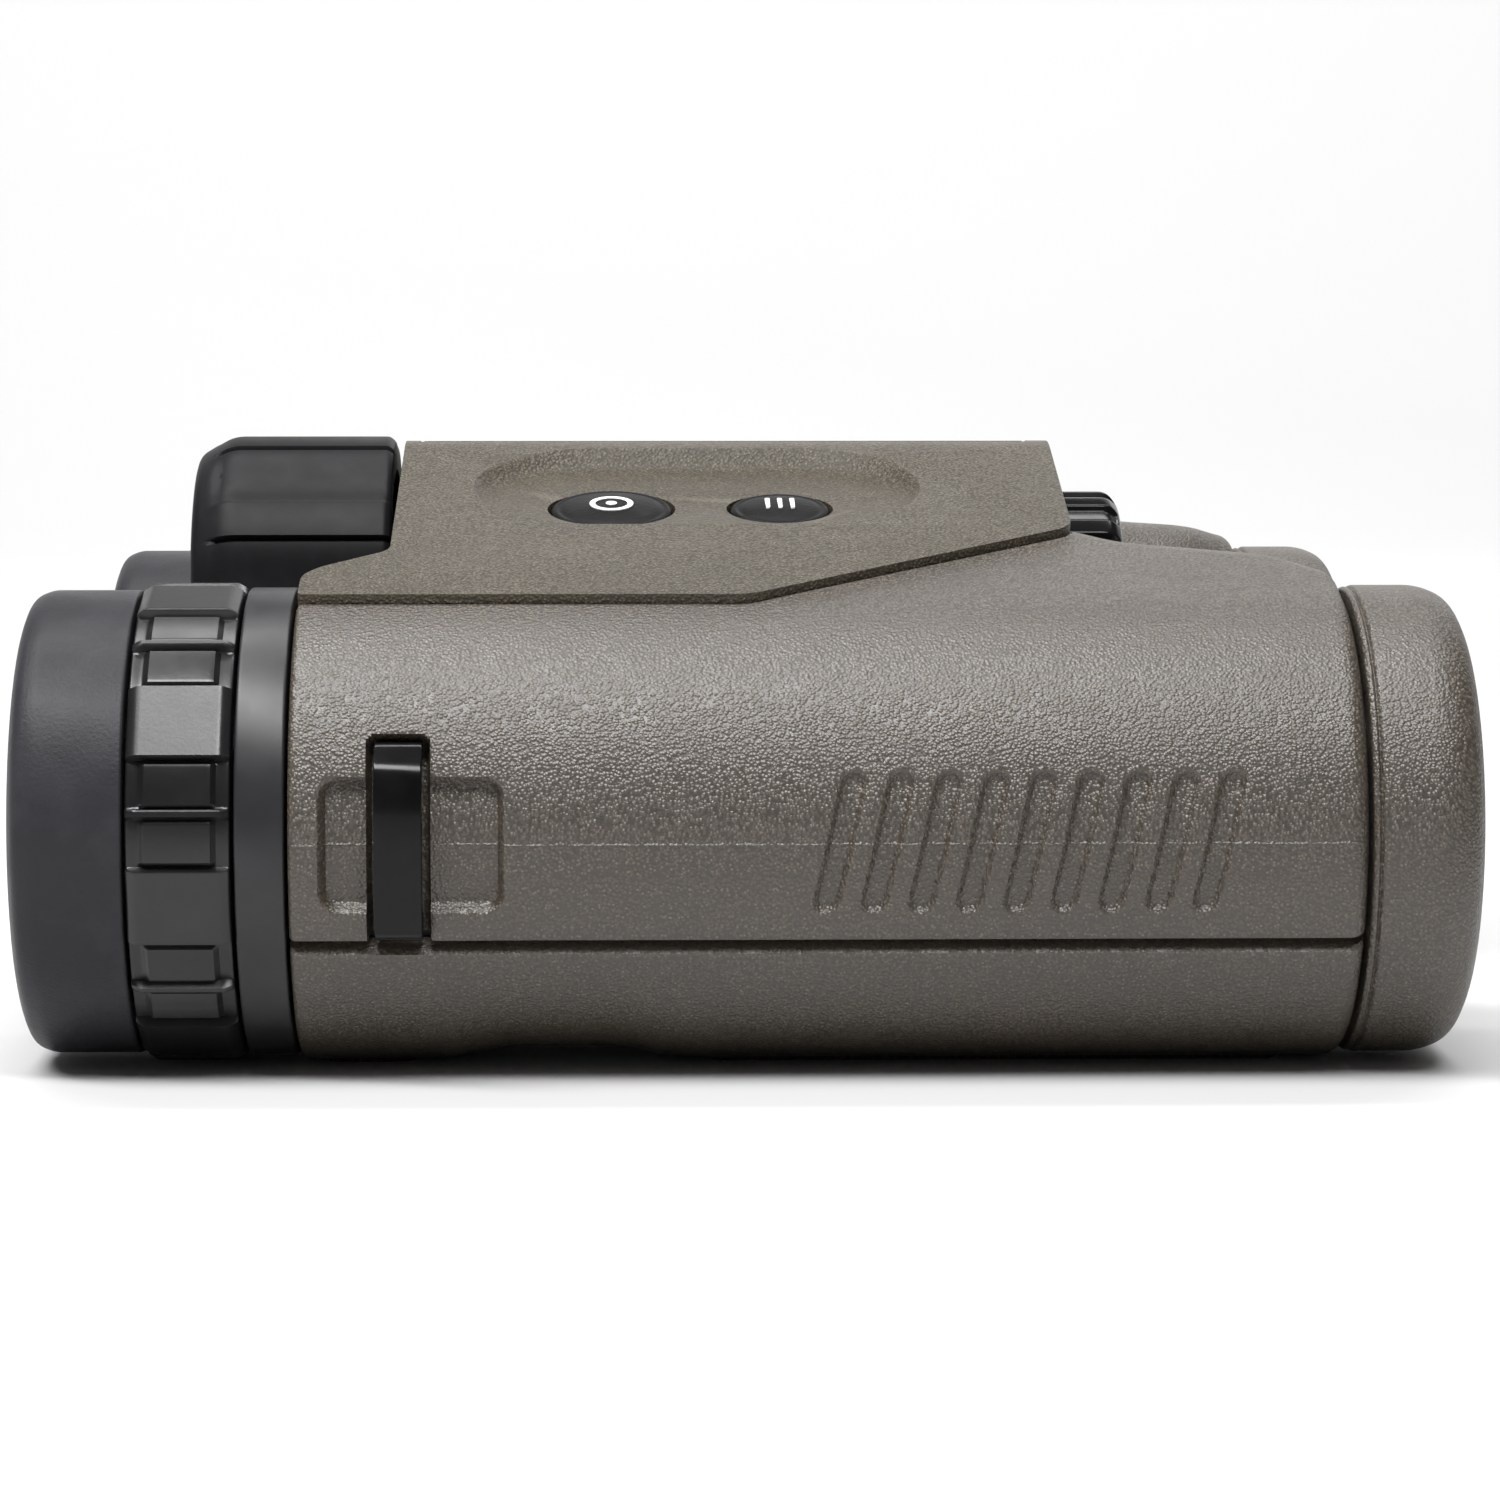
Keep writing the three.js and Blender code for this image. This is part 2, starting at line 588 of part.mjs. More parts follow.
// ---- pieces on the hinge axis ----
function lobed(outer, inner, count, lobe, first, rear, front) {
  const outline = [];
  for (let i = 0; i < count; i += 1) {
    const middle = first + i * 2 * Math.PI / count;
    const rest = 2 * Math.PI / count - lobe;
    outline.push(...arc([0, 0], outer, middle - lobe / 2, middle + lobe / 2, 1));
    outline.push(...arc([0, 0], inner, middle + lobe / 2 + rest * 0.12, middle + lobe / 2 + rest * 0.88, 2));
  }
  return pushed(outline, rear, front);
}

function focusWheel() {
  const first = Math.PI - 32 * Math.PI / 180;
  const grip = solid(lobed(WHEEL_RADIUS, 14.75, 8, 14 * Math.PI / 180, first, WHEEL_REAR, WHEEL_FRONT));
  const envelope = solid(turned([
    [WHEEL_REAR, 0], [WHEEL_REAR, 12.9], [-49.2, 13.8], [-46.2, WHEEL_RADIUS + 0.1],
    [-31.9, WHEEL_RADIUS + 0.1], [WHEEL_FRONT, WHEEL_RADIUS - 0.4], [WHEEL_FRONT, 0],
  ]));
  const bore = solid(rod(-50, -30, 3.3, 16));
  const hollow = solid(ring(-45, -30, 5.5, 12, INNER_ROUND));
  return surface(cut(grip.intersect(envelope), bore, hollow));
}

function batteryCap() {
  const count = 16;
  const grip = solid(lobed(CAP_RADIUS, 9.5, count, Math.PI / count, 0, CAP_REAR, CAP_FRONT));
  const envelope = solid(turned([
    [CAP_REAR, 0], [CAP_REAR, CAP_RADIUS + 0.1], [34.6, CAP_RADIUS + 0.1],
    [35.4, 9.2], [CAP_FRONT, 8.2], [CAP_FRONT, 0],
  ]));
  const spigot = solid(turned([
    [25.3, 0], [25.3, 7.8], [26.7, 7.8], [26.7, 7.0], [28.7, 7.0], [28.7, 7.8], [30, 7.8], [30, 0],
  ], INNER_ROUND));
  return surface(joined(grip.intersect(envelope), spigot));
}

function hingePieces() {
  const group = new THREE.Group();
  group.position.set(0, 0, BARREL_HEIGHT + HINGE_RISE);
  const batteryFront = BATTERY_REAR + BATTERY_LENGTH;
  const list = [
    ['focus_wheel', 'ring', focusWheel()],
    ['focus_screw', 'steel', rod(-48.5, -7.2, 3, 16)],
    ['focus_carriage', 'brass', turned([
      [-18, 3.3], [-18, 9], [-15.4, 9], [-15.4, 7], [-12.6, 7], [-12.6, 9], [-10, 9], [-10, 3.3], [-18, 3.3],
    ], INNER_ROUND)],
    ['hinge_tube', 'steel', turned([
      [-6.9, 0], [-6.9, HINGE_TUBE_RADIUS], [29.2, HINGE_TUBE_RADIUS], [29.2, 8.1],
      [-5.4, 8.1], [-5.4, 0],
    ], 24)],
    ['battery_spring', 'steel', turned([
      [-5.1, 3.4], [-5.1, 5.2], [-4.6, 5.2], [-3.2, 3.6], [-3.2, 2.4], [-3.7, 2.4], [-5.1, 3.4],
    ], 20)],
    ['battery', 'battery', turned([
      [BATTERY_REAR, 0], [BATTERY_REAR, BATTERY_RADIUS], [batteryFront, BATTERY_RADIUS],
      [batteryFront, 3], [batteryFront + 0.8, 3], [batteryFront + 0.8, 0],
    ], INNER_ROUND)],
    ['battery_cap', 'gloss', batteryCap()],
    ['battery_cap_seal', 'seal', ring(27, 28.4, 7.3, 7.9, INNER_ROUND)],
  ];
  for (const [name, look, geometry] of list) {
    group.add(piece(name, look, geometry));
  }
  return group;
}

const binocular = new THREE.Group();
binocular.add(barrelPieces(-1), barrelPieces(1), ...tiltedPieces(), hingePieces());
export default binocular;
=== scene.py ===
"""Looks of the rangefinding binocular.

Lengths are millimetres until a mesh is made. Each barrel's pieces are built about the right barrel's
own axis, with the hinge toward +Y, and mirrored for the left one. The covers and buttons are built on
the slope: from the hinge axis, tilted, with Y along the cover and Z square to it.
"""

from math import asin, cos, hypot, pi, radians, sin

import bmesh
import bpy
import numpy as np
from mathutils import Matrix, Vector


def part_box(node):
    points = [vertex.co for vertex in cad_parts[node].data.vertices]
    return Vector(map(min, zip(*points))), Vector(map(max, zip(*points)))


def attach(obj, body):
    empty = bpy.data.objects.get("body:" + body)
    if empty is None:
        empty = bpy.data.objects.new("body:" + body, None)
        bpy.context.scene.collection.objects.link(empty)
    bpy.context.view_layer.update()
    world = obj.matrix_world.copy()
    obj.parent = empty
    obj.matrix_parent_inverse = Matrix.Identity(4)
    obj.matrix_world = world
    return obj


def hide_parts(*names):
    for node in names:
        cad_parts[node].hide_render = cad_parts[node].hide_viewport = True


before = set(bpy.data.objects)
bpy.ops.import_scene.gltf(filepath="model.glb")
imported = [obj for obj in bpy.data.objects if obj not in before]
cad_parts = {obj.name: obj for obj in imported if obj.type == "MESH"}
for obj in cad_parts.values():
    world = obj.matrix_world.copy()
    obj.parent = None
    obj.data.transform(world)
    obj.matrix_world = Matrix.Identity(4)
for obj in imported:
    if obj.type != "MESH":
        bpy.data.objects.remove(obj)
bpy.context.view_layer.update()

MM = 0.001


# ---- places read from the frame ----
def low_high(node):
    low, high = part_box(node)
    return np.array(low) / MM, np.array(high) / MM


def middle(node):
    low, high = low_high(node)
    return (low + high) / 2


BARREL_SPACING = middle("left_objective_lens")[1]
BARREL_HEIGHT = middle("left_objective_lens")[2]
HINGE_HEIGHT = middle("focus_screw")[2]
HINGE_RISE = HINGE_HEIGHT - BARREL_HEIGHT
TILT = radians(16)
ARMOUR_REAR, ARMOUR_FRONT = (float(end[0]) for end in low_high("right_upper_armour"))
EYECUP_REAR = float(low_high("right_eyecup")[0][0])
OBJECTIVE_FRONT = float(low_high("right_objective_ring")[1][0])
REST_DEPTH = BARREL_HEIGHT

# ---- sizes that several pieces share ----
ARMOUR_RADIUS = 20.4
SHOULDER_RADIUS = 8
TUBE_RADIUS = 18.2
# the groove between upper and lower armour
SPLIT_UP = -8.25
SPLIT_DOWN = -8.95
# pockets on the outer side: both ends along X, both heights, corner radius
STRAP_RECESS = (-35.0, -20.4, -5.4, 5.3, 1.4)
STRAP_SLOT = (-31.25, -26.25, -9.5, 8.9, 0.9)
GRIP_COUNT, GRIP_FIRST, GRIP_PITCH, GRIP_HALF = 9, 7.4, 3.9, 0.95
# how far up the outer side the armour has its fine detail
FINE_TOP = 9.6

# above the hinge axis, square to the slope
COVER_TOP = 14.7
COVER_UNDER = COVER_TOP - 2
# where the cover's edge over the hinge ends, in radians from the slope
COVER_CURL = 1.372
COVER_REAR, COVER_FRONT = -30.5, 29.1
# radius cleared round the other half's end walls
WALL_ROOM = 15

# along the slope, from the hinge
BUTTON_PLACE = -16
BUTTON_GAP = 0.3
DISH_PLACE = -12
RANGE_X, RANGE_RADIUS = -11.4, 5.4
MODE_X, MODE_RADIUS = 3.6, 4.45


# ---- camera, first ----
def make_camera():
    data = bpy.data.cameras.new("camera")
    data.lens = 112.1
    data.sensor_width = 36
    data.clip_start = 0.01
    camera = bpy.data.objects.new("camera", data)
    bpy.context.scene.collection.objects.link(camera)
    camera.location = Vector((-9.75, -436, 62.4)) * MM
    ahead = Vector((0.02568, 1, -0.08968))
    camera.rotation_euler = ahead.to_track_quat("-Z", "Y").to_euler()
    bpy.context.scene.camera = camera


make_camera()
bpy.context.scene.view_settings.view_transform = "Standard"


# ---- small maths ----
def step(edge0, edge1, value):
    """0 before edge0, 1 after edge1, smooth between."""
    part = np.clip((value - edge0) / (edge1 - edge0), 0, 1)
    return part * part * (3 - 2 * part)


def curve_through(x, knots):
    """Smooth values through (place, value) knots, level at both ends."""
    places = np.array([k[0] for k in knots], float)
    values = np.array([k[1] for k in knots], float)
    slopes = np.gradient(values, places)
    slopes[0] = slopes[-1] = 0
    x = np.clip(x, places[0], places[-1])
    i = np.clip(np.searchsorted(places, x) - 1, 0, len(places) - 2)
    width = places[i + 1] - places[i]
    t = (x - places[i]) / width
    return ((2 * t**3 - 3 * t**2 + 1) * values[i] + (t**3 - 2 * t**2 + t) * width * slopes[i]
            + (3 * t**2 - 2 * t**3) * values[i + 1] + (t**3 - t**2) * width * slopes[i + 1])


def rounded_box(x, z, low_x, high_x, low_z, high_z, corner):
    """Distance outside a rounded rectangle, negative inside."""
    away_x = np.abs(x - (low_x + high_x) / 2) - (high_x - low_x) / 2 + corner
    away_z = np.abs(z - (low_z + high_z) / 2) - (high_z - low_z) / 2 + corner
    outside = np.hypot(np.maximum(away_x, 0), np.maximum(away_z, 0))
    return outside + np.minimum(np.maximum(away_x, away_z), 0) - corner


def fillet_end(distance, radius):
    """How far a surface drops at a distance from a rounded end."""
    inside = np.clip(radius - distance, 0, radius)
    return radius - np.sqrt(radius**2 - inside**2)


def eased(points, radius, segments=4):
    """The same path with its corners rounded; a corner is (x, y) or (x, y, its own radius)."""
    made = []
    count = len(points)
    for i, corner in enumerate(points):
        own = corner[2] if len(corner) > 2 else radius
        if i in (0, count - 1) or own == 0:
            made.append(corner[:2])
            continue
        here = Vector(corner[:2])
        back = Vector(points[i - 1][:2]) - here
        ahead = Vector(points[i + 1][:2]) - here
        reach = min(own, back.length * 0.49, ahead.length * 0.49)
        start = here + back.normalized() * reach
        end = here + ahead.normalized() * reach
        for k in range(segments + 1):
            t = k / segments
            made.append(tuple((1 - t) ** 2 * start + 2 * t * (1 - t) * here + t**2 * end))
    return made


def refined(path, longest):
    """The same path with extra points, so that no stretch is longer than longest."""
    made = [path[0]]
    for a, b in zip(path, path[1:]):
        parts = max(1, int(np.ceil(hypot(b[0] - a[0], b[1] - a[1]) / longest)))
        made += [(a[0] + (b[0] - a[0]) * k / parts, a[1] + (b[1] - a[1]) * k / parts)
                 for k in range(1, parts + 1)]
    return made


# ---- mesh making ----
def grid_faces(rows, columns, closed_rows, closed_columns):
    """Four-sided faces over rows of points, joined end to end where closed."""
    faces = []
    for i in range(rows if closed_rows else rows - 1):
        for j in range(columns if closed_columns else columns - 1):
            i2, j2 = (i + 1) % rows, (j + 1) % columns
            faces.append((i * columns + j, i * columns + j2, i2 * columns + j2, i2 * columns + j))
    return faces


def mesh_object(name, places, faces, sharp=35):
    """A mesh in metres from places in millimetres, its faces turned outward."""
    mesh = bpy.data.meshes.new(name)
    mesh.from_pydata([tuple(p) for p in np.asarray(places, float) * MM], [], faces)
    work = bmesh.new()
    work.from_mesh(mesh)
    bmesh.ops.remove_doubles(work, verts=work.verts, dist=1e-8)
    bmesh.ops.dissolve_degenerate(work, edges=work.edges, dist=1e-8)
    bmesh.ops.recalc_face_normals(work, faces=work.faces)
    if work.calc_volume(signed=True) < 0:
        bmesh.ops.reverse_faces(work, faces=work.faces)
    work.to_mesh(mesh)
    work.free()
    piece = bpy.data.objects.new(name, mesh)
    bpy.context.scene.collection.objects.link(piece)
    soften(piece, sharp)
    return piece


def soften(piece, sharp):
    piece.data.shade_smooth()
    piece.data.set_sharp_from_angle(angle=radians(sharp))


def turned(name, profile, sides=96, shape=None, sharp=35):
    """A profile of (x, radius) turned about X; shape(x, radius, angle) may move its points."""
    profile = np.array(profile, float)
    angles = np.arange(sides) * 2 * pi / sides
    x, angle = np.meshgrid(profile[:, 0], angles, indexing="ij")
    radius = np.meshgrid(profile[:, 1], angles, indexing="ij")[0]
    if shape:
        x, radius = shape(x, radius, angle)
    places = np.stack([x, radius * np.cos(angle), radius * np.sin(angle)], -1).reshape(-1, 3)
    return mesh_object(name, places, grid_faces(len(profile), sides, False, True), sharp)


def pushed(name, outline, low, high, sharp=35):
    """A closed outline of (a, b) pushed from low to high along the third axis."""
    count = len(outline)
    places = [(a, b, low) for a, b in outline] + [(a, b, high) for a, b in outline]
    faces = [tuple(range(count)), tuple(range(2 * count - 1, count - 1, -1))]
    faces += [(i, (i + 1) % count, count + (i + 1) % count, count + i) for i in range(count)]
    return mesh_object(name, places, faces, sharp)


def placed(piece, matrix):
    """Moves the mesh itself, so that the object stays at the origin."""
    scaled = matrix.copy()
    scaled.translation = matrix.translation * MM
    piece.data.transform(scaled)
    if matrix.determinant() < 0:
        piece.data.flip_normals()
    return piece


def in_barrel(side):
    """From the right barrel's own frame, hinge toward +Y, to the row frame."""
    turn = Matrix.Scale(-1, 4, Vector((0, 1, 0))) if side > 0 else Matrix.Identity(4)
    return Matrix.Translation((0, side * BARREL_SPACING, BARREL_HEIGHT)) @ turn


def on_hinge():
    return Matrix.Translation((0, 0, HINGE_HEIGHT))


def on_slope(side):
    """From the right cover's slope to the row frame."""
    turn = Matrix.Scale(-1, 4, Vector((0, 1, 0))) if side > 0 else Matrix.Identity(4)
    return turn @ Matrix.Translation((0, 0, HINGE_HEIGHT)) @ Matrix.Rotation(TILT, 4, "X")


def changed(piece, kind, **settings):
    """Adds a modifier and applies it."""
    modifier = piece.modifiers.new(kind.lower(), kind)
    for key, value in settings.items():
        setattr(modifier, key, value)
    graph = bpy.context.evaluated_depsgraph_get()
    mesh = bpy.data.meshes.new_from_object(piece.evaluated_get(graph))
    piece.modifiers.clear()
    piece.data = mesh
    return piece


def carved(piece, *cutters, sharp=35):
    for cutter in cutters:
        changed(piece, "BOOLEAN", operation="DIFFERENCE", solver="EXACT", object=cutter)
        bpy.data.objects.remove(cutter)
    soften(piece, sharp)
    return piece


def block(name, x, y, z):
    outline = [(x[0], y[0]), (x[1], y[0]), (x[1], y[1]), (x[0], y[1])]
    return pushed(name, outline, z[0], z[1])


def finished(piece, body, slot, look, *nodes):
    """Gives a piece its look, its body and the CAD nodes that it replaces; slot is not used."""
    piece.data.materials.clear()
    piece.data.materials.append(look)
    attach(piece, body)
    if nodes:
        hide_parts(*nodes)
    return piece


# ---- materials ----
class Nodes:
    """A short way to write a material's node tree."""

    def __init__(self, name):
        self.material = bpy.data.materials.new(name)
        self.material.use_nodes = True
        self.tree = self.material.node_tree
        self.shader = self.tree.nodes["Principled BSDF"]
        self.place = self.tree.nodes.new("ShaderNodeTexCoord").outputs["Object"]

    def add(self, kind, **values):
        node = self.tree.nodes.new(kind)
        for key, value in values.items():
            if hasattr(node, key):
                setattr(node, key, value)
        return node

    def link(self, output, socket):
        self.tree.links.new(output, socket)

    def noise(self, scale, detail=3, roughness=0.5, stretch=None):
        node = self.add("ShaderNodeTexNoise")
        node.inputs["Scale"].default_value = scale
        node.inputs["Detail"].default_value = detail
        node.inputs["Roughness"].default_value = roughness
        source = self.place
        if stretch:
            mapping = self.add("ShaderNodeMapping")
            mapping.inputs["Scale"].default_value = stretch
            self.link(self.place, mapping.inputs["Vector"])
            source = mapping.outputs["Vector"]
        self.link(source, node.inputs["Vector"])
        return node.outputs["Fac"]

    def cells(self, scale):
        """Distance from the nearest grain's middle, and a tone of its own for each grain."""
        node = self.add("ShaderNodeTexVoronoi", feature="F1")
        node.inputs["Scale"].default_value = scale
        self.link(self.place, node.inputs["Vector"])
        return node.outputs["Distance"], node.outputs["Color"]

    def mapped(self, value, low, high, to_low, to_high):
        node = self.add("ShaderNodeMapRange")
        ends = {"From Min": low, "From Max": high, "To Min": to_low, "To Max": to_high}
        for socket, number in ends.items():
            node.inputs[socket].default_value = number
        self.link(value, node.inputs["Value"])
        return node.outputs["Result"]

    def maths(self, operation, a, b):
        node = self.add("ShaderNodeMath", operation=operation)
        for socket, value in zip(node.inputs, (a, b)):
            if isinstance(value, (int, float)):
                socket.default_value = value
            else:
                self.link(value, socket)
        return node.outputs["Value"]

    def mixed(self, factor, a, b):
        node = self.add("ShaderNodeMix", data_type="RGBA")
        for socket, value in ((node.inputs[6], a), (node.inputs[7], b)):
            if isinstance(value, tuple):
                socket.default_value = (*value, 1)
            else:
                self.link(value, socket)
        self.link(factor, node.inputs[0])
        return node.outputs[2]

    def bump(self, height, strength, distance, under=None):
        node = self.add("ShaderNodeBump")
        node.inputs["Strength"].default_value = strength
        node.inputs["Distance"].default_value = distance
        self.link(height, node.inputs["Height"])
        if under:
            self.link(under, node.inputs["Normal"])
        return node.outputs["Normal"]

    def worn(self, low=0.52, high=0.6):
        """Near 1 on outside edges."""
        geometry = self.add("ShaderNodeNewGeometry")
        return self.mapped(geometry.outputs["Pointiness"], low, high, 0, 1)

    def done(self, colour, roughness, normal, **fixed):
        self.link(colour, self.shader.inputs["Base Color"])
        self.link(roughness, self.shader.inputs["Roughness"])
        self.link(normal, self.shader.inputs["Normal"])
        for key, value in fixed.items():
            self.shader.inputs[key.replace("_", " ")].default_value = value
        return self.material


def pebbled_rubber(name, colour, shine=0.5, grain=3500, depth=0.00007):
    """Moulded armour: a sand-like grain with painted shade in the hollows between pebbles and painted
    glints on pebble tops, lightly polished edges.
    """
    n = Nodes(name)
    dark = tuple(c * 0.84 for c in colour)
    painted_hollow_shade = tuple(c * 0.4 for c in colour)
    pale = tuple(c * 1.7 + 0.04 for c in colour)
    distance, tone = n.cells(grain)
    base = n.mixed(n.mapped(n.noise(55, 4, 0.6), 0.35, 0.65, 0, 1), dark, colour)
    # painted shade: darker in the hollows between the pebbles
    base = n.mixed(n.mapped(distance, 0.3, 0.65, 0, 0.85), base, painted_hollow_shade)
    grain_middle = n.mapped(distance, 0.2, 0.4, 1, 0)
    # painted glints: pale specks on the tops of some pebbles
    painted_glint = n.maths("MULTIPLY", n.mapped(tone, 0.55, 0.8, 0, 0.75), grain_middle)
    # the pale colour carries both the painted glints and the polished edges
    base = n.mixed(n.maths("MAXIMUM", painted_glint, n.maths("MULTIPLY", n.worn(), 0.25)), base, pale)
    height = n.maths("ADD", n.mapped(distance, 0, 0.7, 1, 0), n.noise(grain * 0.6, 2, 0.5))
    rough = n.mapped(n.noise(400, 3), 0.3, 0.7, 0.38, 0.46)
    return n.done(base, rough, n.bump(height, 1.0, depth), Specular_IOR_Level=shine)


def smooth_black(name, level, rough_low, rough_high, depth=0.00002, grain=3000, stretch=None,
                 coat=0.0, metal=0.0, shine=0.5):
    """Moulded or painted black: fine grain, faint dust, brighter handled edges."""
    n = Nodes(name)
    dark = (level, level, level * 1.15)
    dust = tuple(c * 1.8 + 0.006 for c in dark)
    haze = n.mapped(n.noise(120, 5, 0.65), 0.45, 0.75, 0, 0.5)
    base = n.mixed(n.maths("MAXIMUM", haze, n.maths("MULTIPLY", n.worn(), 0.6)), dark, dust)
    normal = n.bump(n.noise(grain, 3, 0.6, stretch), 0.35, depth)
    rough = n.mapped(n.noise(260, 4, 0.6), 0.3, 0.7, rough_low, rough_high)
    return n.done(base, rough, normal, Coat_Weight=coat, Coat_Roughness=0.12, Metallic=metal,
                  Specular_IOR_Level=shine)


def machined_metal(name, colour, rough):
    """Turned metal: fine lines around the axis and a little variation in its shine."""
    n = Nodes(name)
    lines = n.noise(900, 4, 0.7, (6, 0.4, 0.4))
    base = n.mixed(n.mapped(n.noise(80, 3), 0.3, 0.7, 0, 1), colour, tuple(c * 0.75 for c in colour))
    polish = n.mapped(lines, 0.3, 0.7, rough, rough + 0.14)
    return n.done(base, polish, n.bump(lines, 0.2, 0.00002), Metallic=1.0)


def coated_glass(name, tint, transmission=0.8):
    """Optical glass with a purple coating reflection painted in toward grazing angles, and a trace of
    dust.
    """
    n = Nodes(name)
    painted_coating_reflection = n.add("ShaderNodeLayerWeight")
    painted_coating_reflection.inputs["Blend"].default_value = 0.35
    # painted reflection: purple coating tint mixed in by facing, strongest at grazing angles
    base = n.mixed(painted_coating_reflection.outputs["Facing"], tint, (0.55, 0.35, 0.6))
    rough = n.mapped(n.noise(300, 5, 0.7), 0.5, 0.8, 0.02, 0.07)
    normal = n.bump(n.noise(2500, 2), 0.02, 0.00001)
    return n.done(base, rough, normal, IOR=1.6, Transmission_Weight=transmission)


def printed_board(name):
    """Solder mask over copper tracks."""
    n = Nodes(name)
    tracks = n.mapped(n.noise(700, 1, 0.2, (1, 0.15, 1)), 0.52, 0.54, 0, 1)
    base = n.mixed(tracks, (0.015, 0.09, 0.035), (0.05, 0.2, 0.09))
    return n.done(base, n.mapped(n.noise(200), 0.3, 0.7, 0.3, 0.45), n.bump(tracks, 0.2, 0.00003))


def cell_wrap(name):
    """Shrink wrap on the cell, slightly wrinkled."""
    n = Nodes(name)
    base = n.mixed(n.mapped(n.noise(60), 0.4, 0.6, 0, 1), (0.03, 0.05, 0.09), (0.05, 0.08, 0.13))
    wrinkles = n.noise(350, 4, 0.6, (0.2, 1, 1))
    rough = n.mapped(wrinkles, 0.3, 0.7, 0.2, 0.35)
    return n.done(base, rough, n.bump(wrinkles, 0.25, 0.00008), Coat_Weight=0.4)


def mark_paint(name):
    """White pad-printed ink, slightly worn."""
    n = Nodes(name)
    wear = n.mapped(n.noise(3000, 4), 0.55, 0.7, 0, 1)
    base = n.mixed(wear, (0.86, 0.86, 0.85), (0.62, 0.62, 0.61))
    rough = n.mapped(n.noise(900), 0.3, 0.7, 0.45, 0.6)
    return n.done(base, rough, n.bump(n.noise(4000), 0.1, 0.00001))


armour_look = pebbled_rubber("armour_rubber_look", (0.078, 0.062, 0.045), 0.85)
cover_look = pebbled_rubber("cover_rubber_look", (0.092, 0.077, 0.054), 0.3)
eyecup_look = smooth_black("eyecup_rubber_look", 0.024, 0.40, 0.48, 0.00012, shine=0.2)
satin_look = smooth_black("satin_black_look", 0.005, 0.28, 0.35, shine=0.55)
wheel_look = smooth_black("wheel_black_look", 0.007, 0.40, 0.48, shine=0.14)
collar_look = smooth_black("collar_metal_look", 0.012, 0.36, 0.44, 0.00001, 2200, (4, 0.5, 0.5))
gloss_look = smooth_black("gloss_black_look", 0.003, 0.14, 0.22, 0.000006, 1200, None, 0.05, shine=0.2)
button_look = smooth_black("button_rubber_look", 0.004, 0.42, 0.52, 0.00012, 2600, shine=0.12)
chassis_look = smooth_black("chassis_metal_look", 0.02, 0.38, 0.5, 0.00001, 1800, None, 0.0, 0.6)
steel_look = machined_metal("steel_look", (0.55, 0.55, 0.56), 0.22)
brass_look = machined_metal("brass_look", (0.72, 0.5, 0.22), 0.24)
glass_look = coated_glass("optical_glass_look", (0.75, 0.9, 0.85))
board_look = printed_board("circuit_board_look")
wrap_look = cell_wrap("battery_wrap_look")
seal_look = smooth_black("seal_rubber_look", 0.01, 0.5, 0.6)
mark_look = mark_paint("button_mark_look")


# ---- armour ----
def hull_radius(angle, radius, reach):
    """Radius of a taut line round the barrel and the shoulder, seen from the barrel axis."""
    facing = np.arange(-180, 180, 0.5) * pi / 180
    along = (cos(TILT), sin(TILT))
    normal = (-sin(TILT), cos(TILT))
    shoulder_y = normal[0] * (radius - SHOULDER_RADIUS) + along[0] * reach
    shoulder_z = normal[1] * (radius - SHOULDER_RADIUS) + along[1] * reach
    shoulder = shoulder_y * np.cos(facing) + shoulder_z * np.sin(facing) + SHOULDER_RADIUS
    support = np.maximum(radius, shoulder)
    cosine = np.cos(angle[:, None] - facing[None, :])
    return np.min(np.where(cosine > 0.1, support[None, :] / np.maximum(cosine, 0.1), 1e9), axis=1)


def grip_slots(x, z):
    """Depth of a row of slanted slots moulded into the side of the barrel."""
    depth = np.zeros_like(x)
    leaning = x - 0.22 * z
    for i in range(GRIP_COUNT):
        centre = GRIP_FIRST + GRIP_PITCH * i
        outside = rounded_box(leaning, z, centre - GRIP_HALF, centre + GRIP_HALF, -5.6, 5.8, GRIP_HALF)
        depth = np.maximum(depth, 0.62 * (1 - step(-0.3, 0.3, outside)))
    return depth


def armour_stations():
    """Places along the barrel, close together where something is moulded into it."""
    rear_end, grip_start, grip_end, rounding = -20, 4, 43.4, 1.6
    return np.concatenate([
        np.arange(ARMOUR_REAR, rear_end, 0.22),
        np.arange(rear_end, grip_start, 0.8),
        np.arange(grip_start, grip_end, 0.26),
        np.arange(grip_end, ARMOUR_FRONT - rounding, 0.5),
        ARMOUR_FRONT - rounding * (1 - np.sin(np.linspace(0, pi / 2, 10))),
    ])


def armour_surface(x, angle):
    """Outer radius over stations x and angles, with everything moulded into it."""
    shoulder_reach = curve_through(x, [(28, 15.9), (33, 12.9), (40, 10.8), (46, 8.8), (51, 4.6)])
    radius = np.array([hull_radius(angle, ARMOUR_RADIUS, reach) for reach in shoulder_reach])
    grid_x = x[:, None] + 0 * angle[None, :]
    z = radius * np.sin(angle)[None, :]
    y = radius * np.cos(angle)[None, :]
    outer_side = y < 0
    upper = z > SPLIT_UP - 0.2
    recess = 1.15 * (1 - step(-0.35, 0.35, rounded_box(grid_x, z, *STRAP_RECESS)))
    slot = 2.15 * (1 - step(-0.16, 0.16, rounded_box(grid_x, z, *STRAP_SLOT)))
    seam = -0.07 * np.exp(-(z / 0.09) ** 2)
    drop = np.maximum(np.maximum(recess, slot), grip_slots(grid_x, z)) + seam
    radius = radius - np.where(outer_side & upper, drop, 0)
    below = np.clip(-z / ARMOUR_RADIUS, 0, 1) ** 4
    hollow_between_feet = 1.1 * step(-26, -19, grid_x) * (1 - step(-12, -5, grid_x))
    radius = radius - hollow_between_feet * below
    return radius - fillet_end(grid_x - ARMOUR_REAR, 0.6) - fillet_end(ARMOUR_FRONT - grid_x, 1.5)


